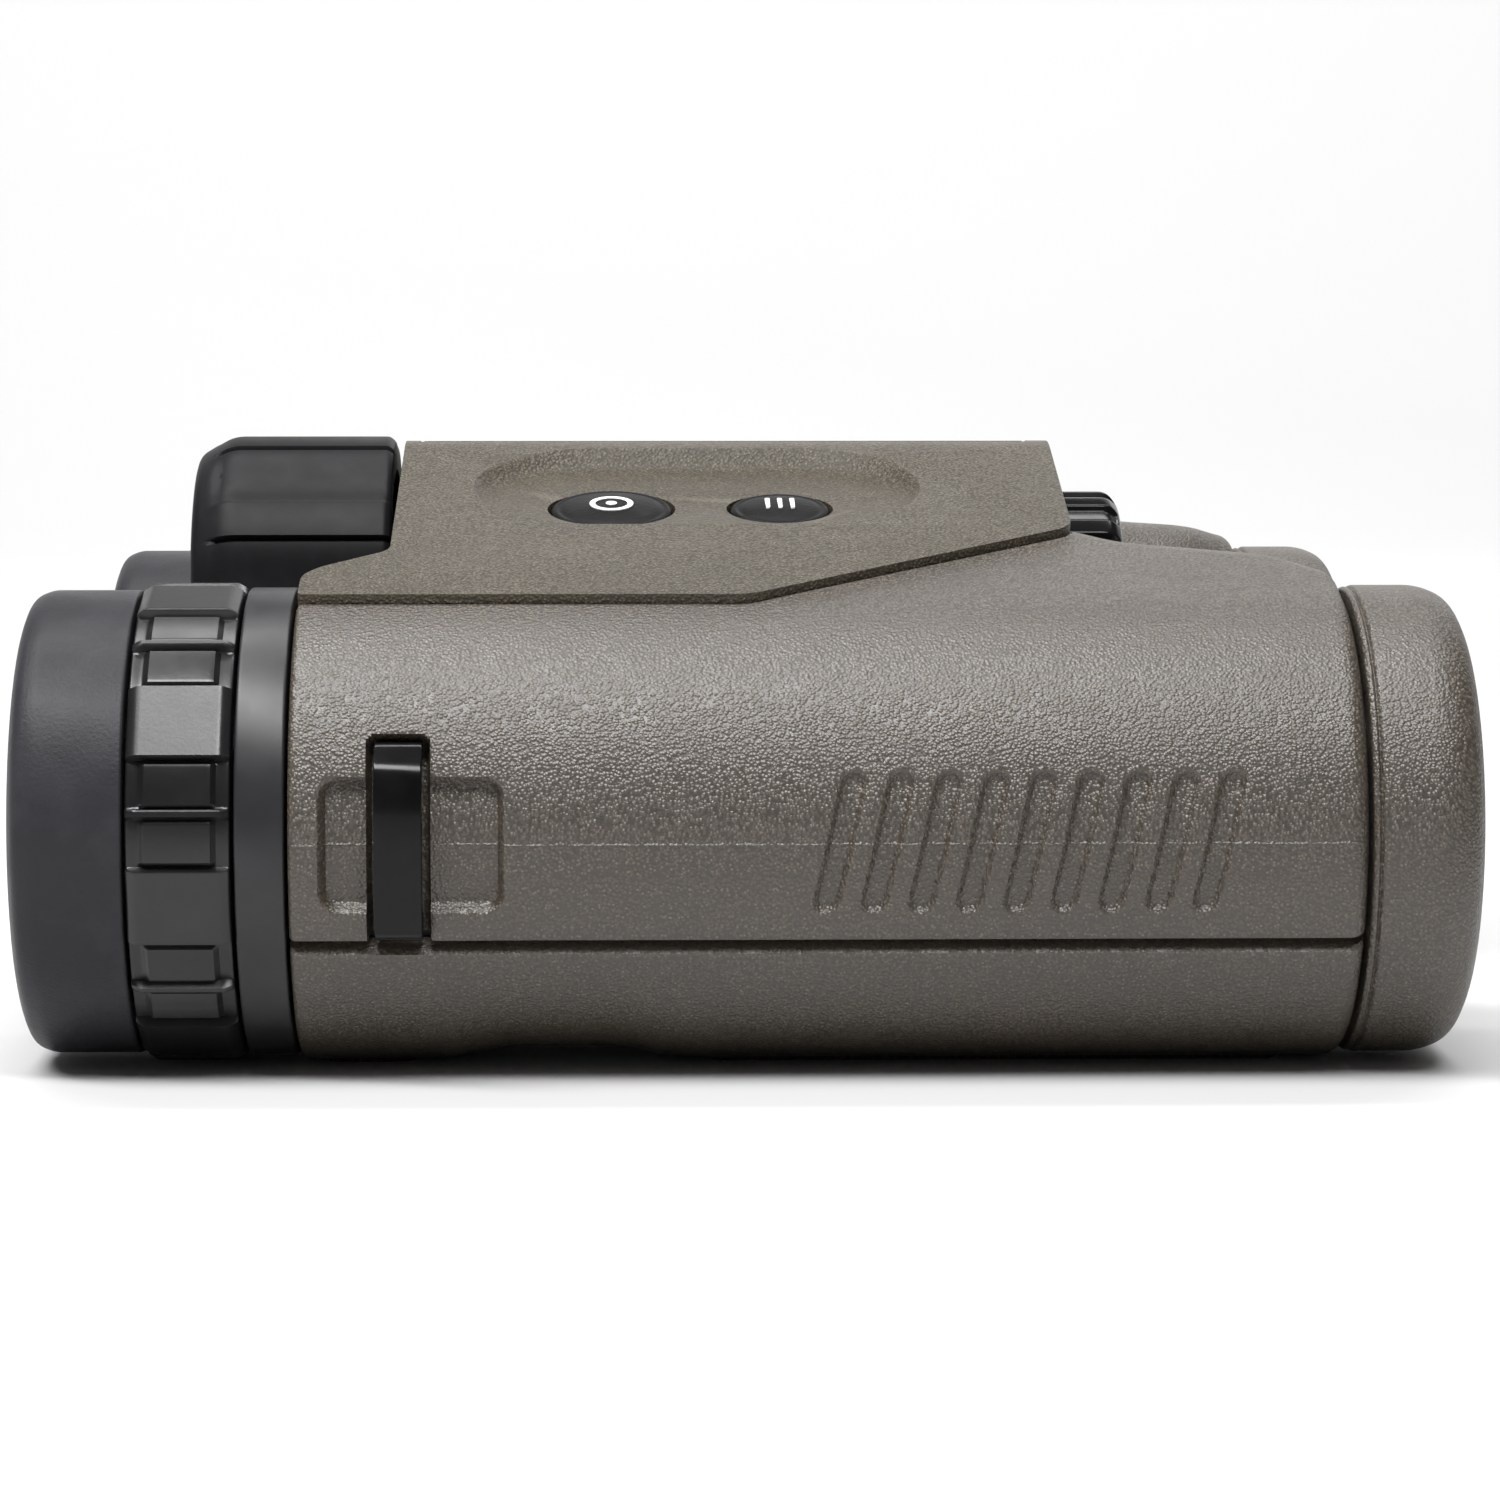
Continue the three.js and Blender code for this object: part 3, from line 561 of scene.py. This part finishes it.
def foot_strips(x, angle, radius):
    """Flat strips under the barrel that it rests on."""
    grid_x = x[:, None] + 0 * angle[None, :]
    flat = REST_DEPTH / np.maximum(-np.sin(angle)[None, :], 0.5)
    y = flat * np.cos(angle)[None, :]
    half_width = 2.9
    near = np.minimum(rounded_box(grid_x, y, -35.9, -28.1, -half_width, half_width, 0.8),
                      rounded_box(grid_x, y, -2.9, 45.9, -half_width, half_width, 0.8))
    inside = 1 - step(-0.25, 0.05, near)
    return np.where(np.sin(angle)[None, :] < -0.9, radius + (flat - radius) * inside, radius)


def armour_shell(name, x, angle, with_feet):
    """The armour between two angles: the moulded outside, the plain inside, and the two end faces."""
    outer = armour_surface(x, angle)
    if with_feet:
        outer = foot_strips(x, angle, outer)
    arc_place = ARMOUR_RADIUS * np.minimum(angle - angle[0], angle[-1] - angle)
    outer = np.maximum(outer - fillet_end(arc_place, 0.45)[None, :], TUBE_RADIUS + 0.05)
    rows = []
    for i, station in enumerate(x):
        ring = [(station, r * cos(a), r * sin(a)) for r, a in zip(outer[i], angle)]
        ring += [(station, TUBE_RADIUS * cos(a), TUBE_RADIUS * sin(a)) for a in angle[::-1]]
        rows.append(ring)
    count = len(angle)
    faces = grid_faces(len(x), 2 * count, False, True)
    for row, flip in ((0, True), (len(x) - 1, False)):
        start = row * 2 * count
        for j in range(count - 1):
            cap = (start + j, start + j + 1, start + 2 * count - 2 - j, start + 2 * count - 1 - j)
            faces.append(cap[::-1] if flip else cap)
    return mesh_object(name, np.array(rows).reshape(-1, 3), faces, 40)


def slope_in_barrel():
    """The slope's frame, seen from the right barrel's own frame."""
    return Matrix.Translation((0, BARREL_SPACING, HINGE_RISE)) @ Matrix.Rotation(TILT, 4, "X")


def cover_outline(grow):
    """The cover's edge, square to the slope: a tongue at the rear, a slant toward the front."""
    tongue, kink, edge, slant = -37.7, 0.4, -40.9, -23.5
    points = [
        (COVER_REAR - grow, 0), (COVER_REAR - grow, -29.3, 1.2), (-36.4 - grow, -33.9, 2.2),
        (tongue - grow, -36, 1.2), (tongue - grow, edge - grow, 0.6),
        (kink + grow / 2, edge - grow, 1.2), (COVER_FRONT - 0.8 + grow, slant - grow, 0.8),
        (COVER_FRONT + grow, slant + 1.5, 1), (COVER_FRONT + grow, 0),
    ]
    return eased(points, 1, 5)


def upper_angles():
    """Angles round the upper armour: coarse inside, fine on the outer side, finest at the seam."""
    start = asin(SPLIT_UP / ARMOUR_RADIUS)
    coarse = np.linspace(start, pi - asin(FINE_TOP / ARMOUR_RADIUS), 110)[:-1]
    fine = pi - np.arcsin(np.linspace(FINE_TOP, SPLIT_UP, 95) / ARMOUR_RADIUS)
    seam = pi - np.arcsin(np.array([0.17, 0.1, 0.05, 0, -0.05, -0.1, -0.17]) / ARMOUR_RADIUS)
    return np.unique(np.concatenate([coarse, fine, seam]))


def armour_cutters():
    """Room for the cover, for the display's bay under it, and for the wheel behind it."""
    high = 25
    cover_room = pushed("room", cover_outline(0.3), COVER_UNDER - 0.3, high)
    bay = block("bay", (-26.2, 20.2), (-28, -12.6), (-5.7, 13))
    shoulder = [(-34.5, 11.9), (-29, 9.9), (-20, 6.5), (-8, 3), (-8, high), (-34.5, high)]
    wheel_room = placed(pushed("wheel_room", shoulder, -45, -30.8), along_x())
    return [placed(cutter, slope_in_barrel()) for cutter in (cover_room, bay, wheel_room)]


def make_armour(side, word):
    x = armour_stations()
    upper = armour_shell(f"{word}_upper_armour_skin", x, upper_angles(), False)
    carved(upper, *armour_cutters(), sharp=40)
    low_start = pi - asin(SPLIT_DOWN / ARMOUR_RADIUS)
    low_end = 2 * pi + asin(SPLIT_DOWN / ARMOUR_RADIUS)
    plain_x = np.unique(np.concatenate([x[x < -35], np.arange(-35, 47, 0.45), x[x > 47]]))
    round_below = np.linspace(low_start, low_end, 130)
    lower = armour_shell(f"{word}_lower_armour_skin", plain_x, round_below, True)
    for piece, node in ((upper, "upper_armour"), (lower, "lower_armour")):
        placed(piece, in_barrel(side))
        finished(piece, f"{word}_barrel", "armour_rubber", armour_look, f"{word}_{node}")


# ---- covers on the bridge ----
def dish_cutter():
    """A long oval dish with a soft lip, tipped so that it deepens toward the hinge."""
    lip = [(1.9, 12.6), (1.45, 12.1), (1.1, 11.65), (0.8, 11.2), (0.5, 10.85), (0.25, 10.5),
           (0.0, 10.2), (-0.15, 9.8), (-0.25, 9.4), (-0.3, 9.0)]
    half, centre, tip_place, slope, count = 9.1, -3.7, 23.2, radians(3), 36
    rings = []
    for height, radius in lip:
        for turn, end in ((-pi / 2, half), (pi / 2, -half)):
            for k in range(count + 1):
                a = turn + pi * k / count
                across, along = centre + end + radius * cos(a), DISH_PLACE + radius * sin(a)
                rings.append((across, along, COVER_TOP + height))
    width = 2 * (count + 1)
    faces = grid_faces(len(lip), width, False, True)
    faces += [tuple(range(width)), tuple(range(len(rings) - 1, len(rings) - 1 - width, -1))]
    tip = Matrix.Translation((0, -tip_place, COVER_TOP)) @ Matrix.Rotation(-slope, 4, "X")
    back = Matrix.Translation((0, tip_place, -COVER_TOP))
    return placed(mesh_object("dish", rings, faces, 60), tip @ back)


def button_hole(x, radius):
    """A cutter for the round hole that a button stands in."""
    reach = radius + BUTTON_GAP
    turn = np.arange(64) * 2 * pi / 64
    outline = [(x + reach * cos(a), BUTTON_PLACE + reach * sin(a)) for a in turn]
    return pushed("hole", outline, 5, 20)


def cover_section():
    """Across the cover, as (y, z) points: flat over the barrel, curling over the hinge."""
    turn = np.linspace(pi / 2, COVER_CURL, 8)
    outer = [(COVER_TOP * cos(a), COVER_TOP * sin(a)) for a in turn]
    inner = [(COVER_UNDER * cos(a), COVER_UNDER * sin(a)) for a in turn[::-1]]
    return [(-60, COVER_UNDER), (-60, COVER_TOP)] + outer + inner


def along_x():
    """Turns a pushed outline, so that it runs along X and its own two directions are Y and Z."""
    return Matrix(((0, 0, 1, 0), (1, 0, 0, 0), (0, 1, 0, 0), (0, 0, 0, 1)))


def merged(piece, *others, operation="UNION"):
    for other in others:
        changed(piece, "BOOLEAN", operation=operation, solver="EXACT", object=other)
        bpy.data.objects.remove(other)
    return piece


def disc(name, low, high, radius, sides):
    return turned(name, [(low, 0), (low, radius), (high, radius), (high, 0)], sides)


def bevelled(piece, width, segments, angle, sharp):
    changed(piece, "BEVEL", width=width * MM, segments=segments, limit_method="ANGLE",
            angle_limit=radians(angle))
    soften(piece, sharp)


def end_wall(name, low, high, side, hole):
    """A wall under the cover's end; on the right it is a disc about the hinge as well."""
    wall = block(name, (low, high), (-24, -0.5), (3.6, COVER_TOP - 1))
    if side < 0:
        merged(wall, disc("disc", low, high, COVER_TOP, 128))
        carved(wall, disc("hole", low - 1, high + 1, hole, 64))
    else:
        carved(wall, disc("room", low - 1, high + 1, WALL_ROOM, 128))
    bevelled(wall, 0.25, 2, 50, 32)
    return placed(wall, on_slope(side))


def make_cover(side, word, name, node, dished):
    """One half of the bridge: with dish and buttons, or with room for the other half's end walls."""
    plate = placed(pushed(name, cover_section(), -40, 32), along_x())
    outline = cover_outline(0)
    tall = pushed("tall", [(outline[0][0], 8), *outline, (outline[-1][0], 8)], 5, 20)
    merged(plate, tall, operation="INTERSECT")
    if dished:
        carved(plate, dish_cutter(), button_hole(RANGE_X, RANGE_RADIUS),
               button_hole(MODE_X, MODE_RADIUS))
    else:
        carved(plate, disc("room", 26.9, 31, WALL_ROOM, 96), disc("room", -33, -28.9, WALL_ROOM, 96))
    bevelled(plate, 0.42, 3, 50, 32)
    placed(plate, on_slope(side))
    finished(plate, f"{word}_barrel", "cover_rubber", cover_look, node)
    ends = (("front", COVER_FRONT - 1.9, COVER_FRONT, 9.7), ("rear", COVER_REAR, COVER_REAR + 1.3, 3.6))
    for end, low, high, hole in ends:
        wall = end_wall(f"{word}_cover_{end}_wall", low, high, side, hole)
        finished(wall, f"{word}_barrel", "cover_rubber", cover_look)


# ---- buttons ----
def upright(x):
    """Stands a turned piece on the slope at a button's place."""
    return Matrix(((0, 1, 0, x), (0, 0, 1, BUTTON_PLACE), (1, 0, 0, 0), (0, 0, 0, 1)))


def make_button(name, x, radius, body, node):
    """A flange under the cover, a rim, and a slightly domed top inside the rim."""
    flange = radius + 0.9
    profile = eased([
        (9.6, 0), (9.6, flange, 0.2), (10.9, flange, 0.2), (10.9, radius, 0.1), (13.85, radius, 0.3),
        (14.12, radius - 0.4, 0.2), (14.02, radius - 0.75, 0.2), (14.24, radius - 1.3, 0.6),
        (14.5, radius * 0.4, 2), (14.56, 0),
    ], 0.3, 5)
    piece = turned(name, refined(profile, 0.5), 72)
    placed(piece, upright(x))
    placed(piece, on_slope(-1))
    finished(piece, body, "button_rubber", button_look, node)


def flat_ring(name, x, inner, outer, low, high, sides=48):
    """A flat ring, or a disc when inner is 0, printed on a button."""
    profile = [(low, inner), (low, outer), (high, outer), (high, inner)]
    if inner:
        profile.append(profile[0])
    return placed(turned(name, profile, sides), upright(x))


def make_marks():
    """A sight ring with a dot on one button, three bars on the other."""
    top, pitch, half, reach = 14.48, 1.1, 0.22, 1.35
    ring = flat_ring("range_button_ring_mark", RANGE_X, 1.45, 1.95, top - 0.15, top + 0.1)
    dot = flat_ring("range_button_dot_mark", RANGE_X, 0, 0.5, top, top + 0.14, 24)
    for piece in (ring, dot):
        placed(piece, on_slope(-1))
        finished(piece, "range_button_set", "button_rubber", mark_look)
    for i in range(3):
        across = MODE_X - pitch + pitch * i
        outline = eased([
            (across, -0.9), (across - half, -reach), (across + half, -reach),
            (across + half, reach), (across - half, reach), (across - half, -1.3),
        ], 0.2, 4)
        outline = [(a, b + BUTTON_PLACE) for a, b in outline[1:-1]]
        bar = pushed(f"mode_button_bar_{i + 1}_mark", outline, top - 0.2, top + 0.13)
        placed(bar, on_slope(-1))
        finished(bar, "mode_button_set", "button_rubber", mark_look)


# ---- eyepieces ----
DIAL_REAR, DIAL_FRONT = -51.1, -42.5
DIAL_RADIUS, LUG_RADIUS, DIAL_BORE = 19.58, 20.5, 15.9


def pattern(angle, first, period, half_width, soft):
    """1 on evenly repeated lobes of an angle, 0 between them."""
    away = np.abs((angle - first + period / 2) % period - period / 2)
    return 1 - step(half_width - soft, half_width + soft, away)


def diopter_shape(x, radius, angle):
    """Wide flat lugs, fine ribs and shallow pads between, eight times round."""
    turn = 2 * pi / 8
    lug_place = pi - radians(30)
    lug_half = radians(9.25)
    soft = radians(0.35)
    away = np.abs((angle - lug_place + turn / 2) % turn - turn / 2)
    inside_end = np.minimum(x - DIAL_REAR, DIAL_FRONT - x)
    chamfer = np.clip(1.0 - inside_end / 0.85, 0, 1)
    lug = pattern(angle, lug_place, turn, lug_half, soft)
    flat = LUG_RADIUS * cos(lug_half) / np.cos(np.minimum(away, lug_half)) - DIAL_RADIUS
    lug_height = flat - 0.5 * chamfer
    rib = pattern(angle, lug_place + turn / 2, turn, radians(1.1), soft)
    pad_middle = lug_half + radians(6.4)
    pad_x = step(-50.1, -49.5, x) * (1 - step(-44.2, -43.6, x))
    pad = (1 - step(radians(4.7), radians(5.9), np.abs(away - pad_middle))) * pad_x
    raised = np.maximum(np.maximum(lug * lug_height, rib * (0.85 - 0.5 * chamfer)), pad * 0.5)
    outer = radius > 18.5
    return x, np.where(outer, radius + raised, radius)


def make_eyepiece(side, word):
    """Eyecup, diopter ring, barrel with its collar, then the two sleeves inside."""
    end = EYECUP_REAR
    eyecup = turned(f"{word}_eyecup_skin", eased([
        (-51.4, 17.2), (-51.4, 19.8, 0.35), (-58.9, 19.8, 0.5), (end + 0.75, 19.25, 1.1),
        (end, 17.3, 1.2), (end, 14.9, 0.9), (end + 0.3, 13.9), (end + 1.3, 13.8), (end + 1.9, 14.8),
        (-59.2, 17.2, 0.3), (-51.4, 17.2),
    ], 0.4, 6), 160)
    placed(eyecup, in_barrel(side))
    finished(eyecup, f"{word}_eyecup_set", "eyecup_rubber", eyecup_look, f"{word}_eyecup")
    path = eased([
        (DIAL_REAR, DIAL_BORE), (DIAL_REAR, DIAL_RADIUS),
        (DIAL_FRONT, DIAL_RADIUS), (DIAL_FRONT, DIAL_BORE),
    ], 0.3, 5)
    path = [*refined(path, 0.22), (DIAL_REAR, DIAL_BORE)]
    dial = turned(f"{word}_diopter_ring_skin", path, 900, diopter_shape, 30)
    placed(dial, in_barrel(side))
    finished(dial, f"{word}_diopter_set", "satin_black", satin_look, f"{word}_diopter_ring")
    barrel = turned(f"{word}_eyepiece_barrel_skin", eased([
        (-58.3, 14.2), (-58.3, 15.6, 0.2), (-42.2, 15.6, 0.1), (-42.2, 20.0, 0.35), (-38.1, 20.0, 0.3),
        (-38.1, 16.2, 0.1), (-36, 16.2, 0.1), (-36, 14.2, 0.1), (-58.3, 14.2),
    ], 0.2, 4), 128)
    placed(barrel, in_barrel(side))
    finished(barrel, f"{word}_barrel", "collar_metal", collar_look, f"{word}_eyepiece_barrel")
    for name, body, rear, front, inner, outer in (
        ("eyecup_sleeve", f"{word}_eyecup_lift_set", -58.9, -51.6, 15.9, 16.9),
        ("ocular_cell", f"{word}_ocular_set", -57, -46, 11.7, 13.9),
    ):
        path = eased([
            (rear, inner), (rear, outer, 0.25), (front, outer, 0.25), (front, inner), (rear, inner),
        ], 0.2, 3)
        tube = turned(f"{word}_{name}_skin", path, 96)
        placed(tube, in_barrel(side))
        finished(tube, body, "chassis_metal", chassis_look, f"{word}_{name}")


# ---- objective end ----
def make_objective(side, word):
    body = f"{word}_barrel"
    front = OBJECTIVE_FRONT
    ring = turned(f"{word}_objective_ring_skin", eased([
        (51.35, 16.4), (51.35, 19.75, 0.2), (51.75, 20.0, 0.15), (52.0, 19.7, 0.1), (52.25, 20.1, 0.25),
        (57.9, 20.1, 2.0), (front - 0.95, 19.1, 1.7), (front, 17.0, 1.2), (front - 0.1, 15.8, 0.4),
        (front - 0.9, 15.7, 0.3), (58.8, 16.4, 0.3), (51.35, 16.4),
    ], 0.4, 7), 160)
    placed(ring, in_barrel(side))
    finished(ring, body, "armour_rubber", armour_look, f"{word}_objective_ring")
    retainer = turned(f"{word}_objective_retainer_skin", eased([
        (56.9, 15.2), (56.9, 16.1), (58.5, 16.1), (58.5, 15.75), (58.2, 15.6), (57.9, 15.35),
        (57.6, 15.2), (56.9, 15.2),
    ], 0.1, 3), 128)
    placed(retainer, in_barrel(side))
    finished(retainer, body, "satin_black", satin_look, f"{word}_objective_retainer")


def bulged(rear, front, radius, rear_sag, front_sag):
    """A lens profile from the axis, out and back to it."""
    parts = np.linspace(0, 1, 14)
    back = [(rear + rear_sag * (1 - p * p), radius * p) for p in parts]
    face = [(front + front_sag * (1 - p * p), radius * p) for p in parts[::-1]]
    return back + face


def make_lenses(side, word):
    lenses = (
        ("objective_lens", f"{word}_barrel", bulged(50.9, 55.3, 16.0, 0.8, 1.2)),
        ("focus_lens", f"{word}_focus_set", bulged(-15.8, -12.2, 13.2, 0.7, -0.7)),
        ("eye_lens", f"{word}_ocular_set", bulged(-55.3, -50.5, 11.4, -0.9, 0.7)),
    )
    for name, body, profile in lenses:
        piece = turned(f"{word}_{name}_skin", profile, 96)
        placed(piece, in_barrel(side))
        finished(piece, body, "optical_glass", glass_look, f"{word}_{name}")


# ---- strap bar ----
def make_strap_bar(side, word):
    """A bowed bar whose two feet go into the armour."""
    outline = eased([
        (18.4, -8), (19.4, -8, 0.4), (21, -7.3, 0.8), (21.5, -3.8, 3), (21.58, 0, 3), (21.5, 3.8, 3),
        (21.05, 6.3, 0.9), (19, 8.3, 0.5), (17, 8.3, 0.2), (17.5, 5.9, 0.4), (19.6, 5.3, 0.6),
        (19.75, 0, 2), (19.6, -5.3, 0.6), (17.8, -5.9, 0.4), (17.3, -8, 0.2), (18.4, -8),
    ], 0.3, 5)[:-1]
    bar = pushed(f"{word}_strap_bar_skin", outline, -30.7, -26.8)
    bevelled(bar, 0.45, 4, 60, 40)
    placed(bar, Matrix.Scale(-1, 4, Vector((0, 1, 0))) @ along_x())
    placed(bar, in_barrel(side))
    finished(bar, f"{word}_barrel", "gloss_black", gloss_look, f"{word}_strap_bar")


# ---- on the hinge axis ----
def wheel_shape(x, radius, angle):
    """Eight lugs: a fine step on the upper edge, a groove on the lower edge, shallow flutes between."""
    turn = 2 * pi / 8
    first = pi - radians(32)
    away = (angle - first + turn / 2) % turn - turn / 2
    lug = 1 - step(radians(6.8), radians(7.2), np.abs(away))
    flute = 0.14 + 0.3 * np.cos((np.abs(away) - radians(22.5)) / radians(15.3) * pi / 2) ** 2
    groove = 0.5 * (1 - step(radians(0.5), radians(1.1), np.abs(away - radians(7.9))))
    outer = step(12.6, 13.4, radius) * step(-47.9, -47.1, x)
    return x, radius - outer * ((1 - lug) * flute + groove)


def make_wheel():
    """A tapered rear edge, an open hollow toward the cover, and a hub on the screw."""
    front, radius, hollow, hub, bore = -31.4, 15.25, 12, 5.5, 3.3
    path = eased([
        (-49.2, bore), (-49.2, 5.4, 0.3), (-49.6, 5.9, 0.3), (-49.6, 13.3, 0.9), (-46.3, radius, 1.0),
        (-31.9, radius, 0.3), (front, 14.8), (front, hollow), (-45, hollow), (-45, hub), (front, hub),
        (front, bore, 0.1), (-49.2, bore),
    ], 0.2, 5)
    wheel = turned("focus_wheel_skin", refined(path, 0.5), 720, wheel_shape, 30)
    placed(wheel, on_hinge())
    finished(wheel, "focus_wheel_set", "satin_black", wheel_look, "focus_wheel")


def cap_shape(x, radius, angle):
    """Sixteen flutes round the grip of the cap."""
    turn = 2 * pi / 16
    flute = 1 - pattern(angle, 0, turn, turn * 0.27, turn * 0.05)
    outer = step(8.9, 9.5, radius) * (x > 29)
    return x, radius - outer * flute * 0.5


def make_battery_cap():
    """A plug with a groove for its seal, a fluted grip, and a coin slot in the front."""
    plug, groove, grip = 7.8, 7.0, 9.95
    path = eased([
        (25.3, 0), (25.3, plug, 0.2), (26.7, plug, 0.1), (26.7, groove, 0.1), (28.7, groove, 0.1),
        (28.7, plug, 0.1), (29.5, plug, 0.1), (29.5, grip, 0.25), (34.7, grip, 0.8), (35.7, 8.6, 0.6),
        (35.7, 7.2, 0.2), (35.35, 6.9, 0.2), (35.35, 0),
    ], 0.2, 5)
    cap = turned("battery_cap_skin", refined(path, 0.4), 384, cap_shape, 35)
    long, half = 5, 0.8
    corners = [(-long, -half), (long, -half), (long, half), (-long, half), (-long, -half)]
    slot = pushed("slot", eased(corners, 0.7, 4)[:-1], 34.6, 37)
    placed(slot, along_x())
    carved(cap, slot)
    placed(cap, on_hinge())
    finished(cap, "battery_cap_set", "gloss_black", gloss_look, "battery_cap")


# ---- CAD pieces that keep their shape ----
def dress_frame():
    """Dresses each piece that shows as its CAD solid; the first of these words in its name decides."""
    looks = {
        "chassis": chassis_look, "focus_cell": chassis_look, "display_module": chassis_look,
        "prism": glass_look, "hinge_tube": steel_look, "focus_screw": steel_look,
        "battery_spring": steel_look, "laser_module": steel_look, "focus_carriage": brass_look,
        "button_board": board_look, "main_board": board_look,
        "battery_cap_seal": seal_look, "battery": wrap_look,
    }
    for node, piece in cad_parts.items():
        for word, look in looks.items():
            if word in node and not piece.hide_render:
                piece.data.materials.clear()
                piece.data.materials.append(look)
                break


# ---- floor and light ----
def make_stage():
    """A pale floor that sweeps up into a backdrop; metres here."""
    bend_start, bend = 0.9, 0.6
    sweep = [(-1.5, 0), (bend_start, 0)]
    sweep += [(bend_start + bend * sin(a), bend - bend * cos(a)) for a in np.linspace(0, pi / 2, 16)[1:]]
    sweep += [(bend_start + bend, 0.95)]
    places = [(x / MM, y / MM, z / MM) for x in (-3, 3) for y, z in sweep]
    floor = mesh_object("floor", places, grid_faces(2, len(sweep), False, False), 60)
    n = Nodes("floor_look")
    base = n.mixed(n.noise(3), (0.60, 0.60, 0.60), (0.62, 0.62, 0.62))
    rough = n.mapped(n.noise(20), 0, 1, 0.75, 0.85)
    floor.data.materials.append(n.done(base, rough, n.bump(n.noise(60), 0.02, 0.001)))


def make_light(name, place, target, size, power):
    """A soft rectangular light; metres and watts."""
    data = bpy.data.lights.new(name, "AREA")
    data.shape = "RECTANGLE"
    data.size, data.size_y = size
    data.energy = power
    light = bpy.data.objects.new(name, data)
    light.location = place
    light.rotation_euler = (Vector(target) - Vector(place)).to_track_quat("-Z", "Y").to_euler()
    bpy.context.scene.collection.objects.link(light)


def make_lights():
    world = bpy.data.worlds.new("studio")
    world.use_nodes = True
    world.node_tree.nodes["Background"].inputs["Color"].default_value = (1, 1, 1, 1)
    world.node_tree.nodes["Background"].inputs["Strength"].default_value = 0.10
    bpy.context.scene.world = world
    make_light("key", (-0.14, -0.33, 0.64), (0, -0.04, 0.03), (0.9, 0.17), 9.5)
    make_light("top", (0.0, -0.1, 0.9), (0, -0.02, 0.03), (1.0, 0.6), 0.5)
    make_light("back", (0.3, 0.8, 0.5), (0, 0, 0.03), (0.9, 0.5), 0.8)
    make_light("backdrop", (0, 0.5, 1.6), (0, 1.6, 0.5), (2, 0.6), 42)


make_stage()
make_lights()
for side, word in ((-1, "right"), (1, "left")):
    make_armour(side, word)
    make_eyepiece(side, word)
    make_objective(side, word)
    make_lenses(side, word)
    make_strap_bar(side, word)
make_cover(-1, "right", "control_cover_skin", "control_cover", True)
make_cover(1, "left", "bridge_cover_skin", "bridge_cover", False)
make_button("range_button_skin", RANGE_X, RANGE_RADIUS, "range_button_set", "range_button")
make_button("mode_button_skin", MODE_X, MODE_RADIUS, "mode_button_set", "mode_button")
make_marks()
make_wheel()
make_battery_cap()
dress_frame()
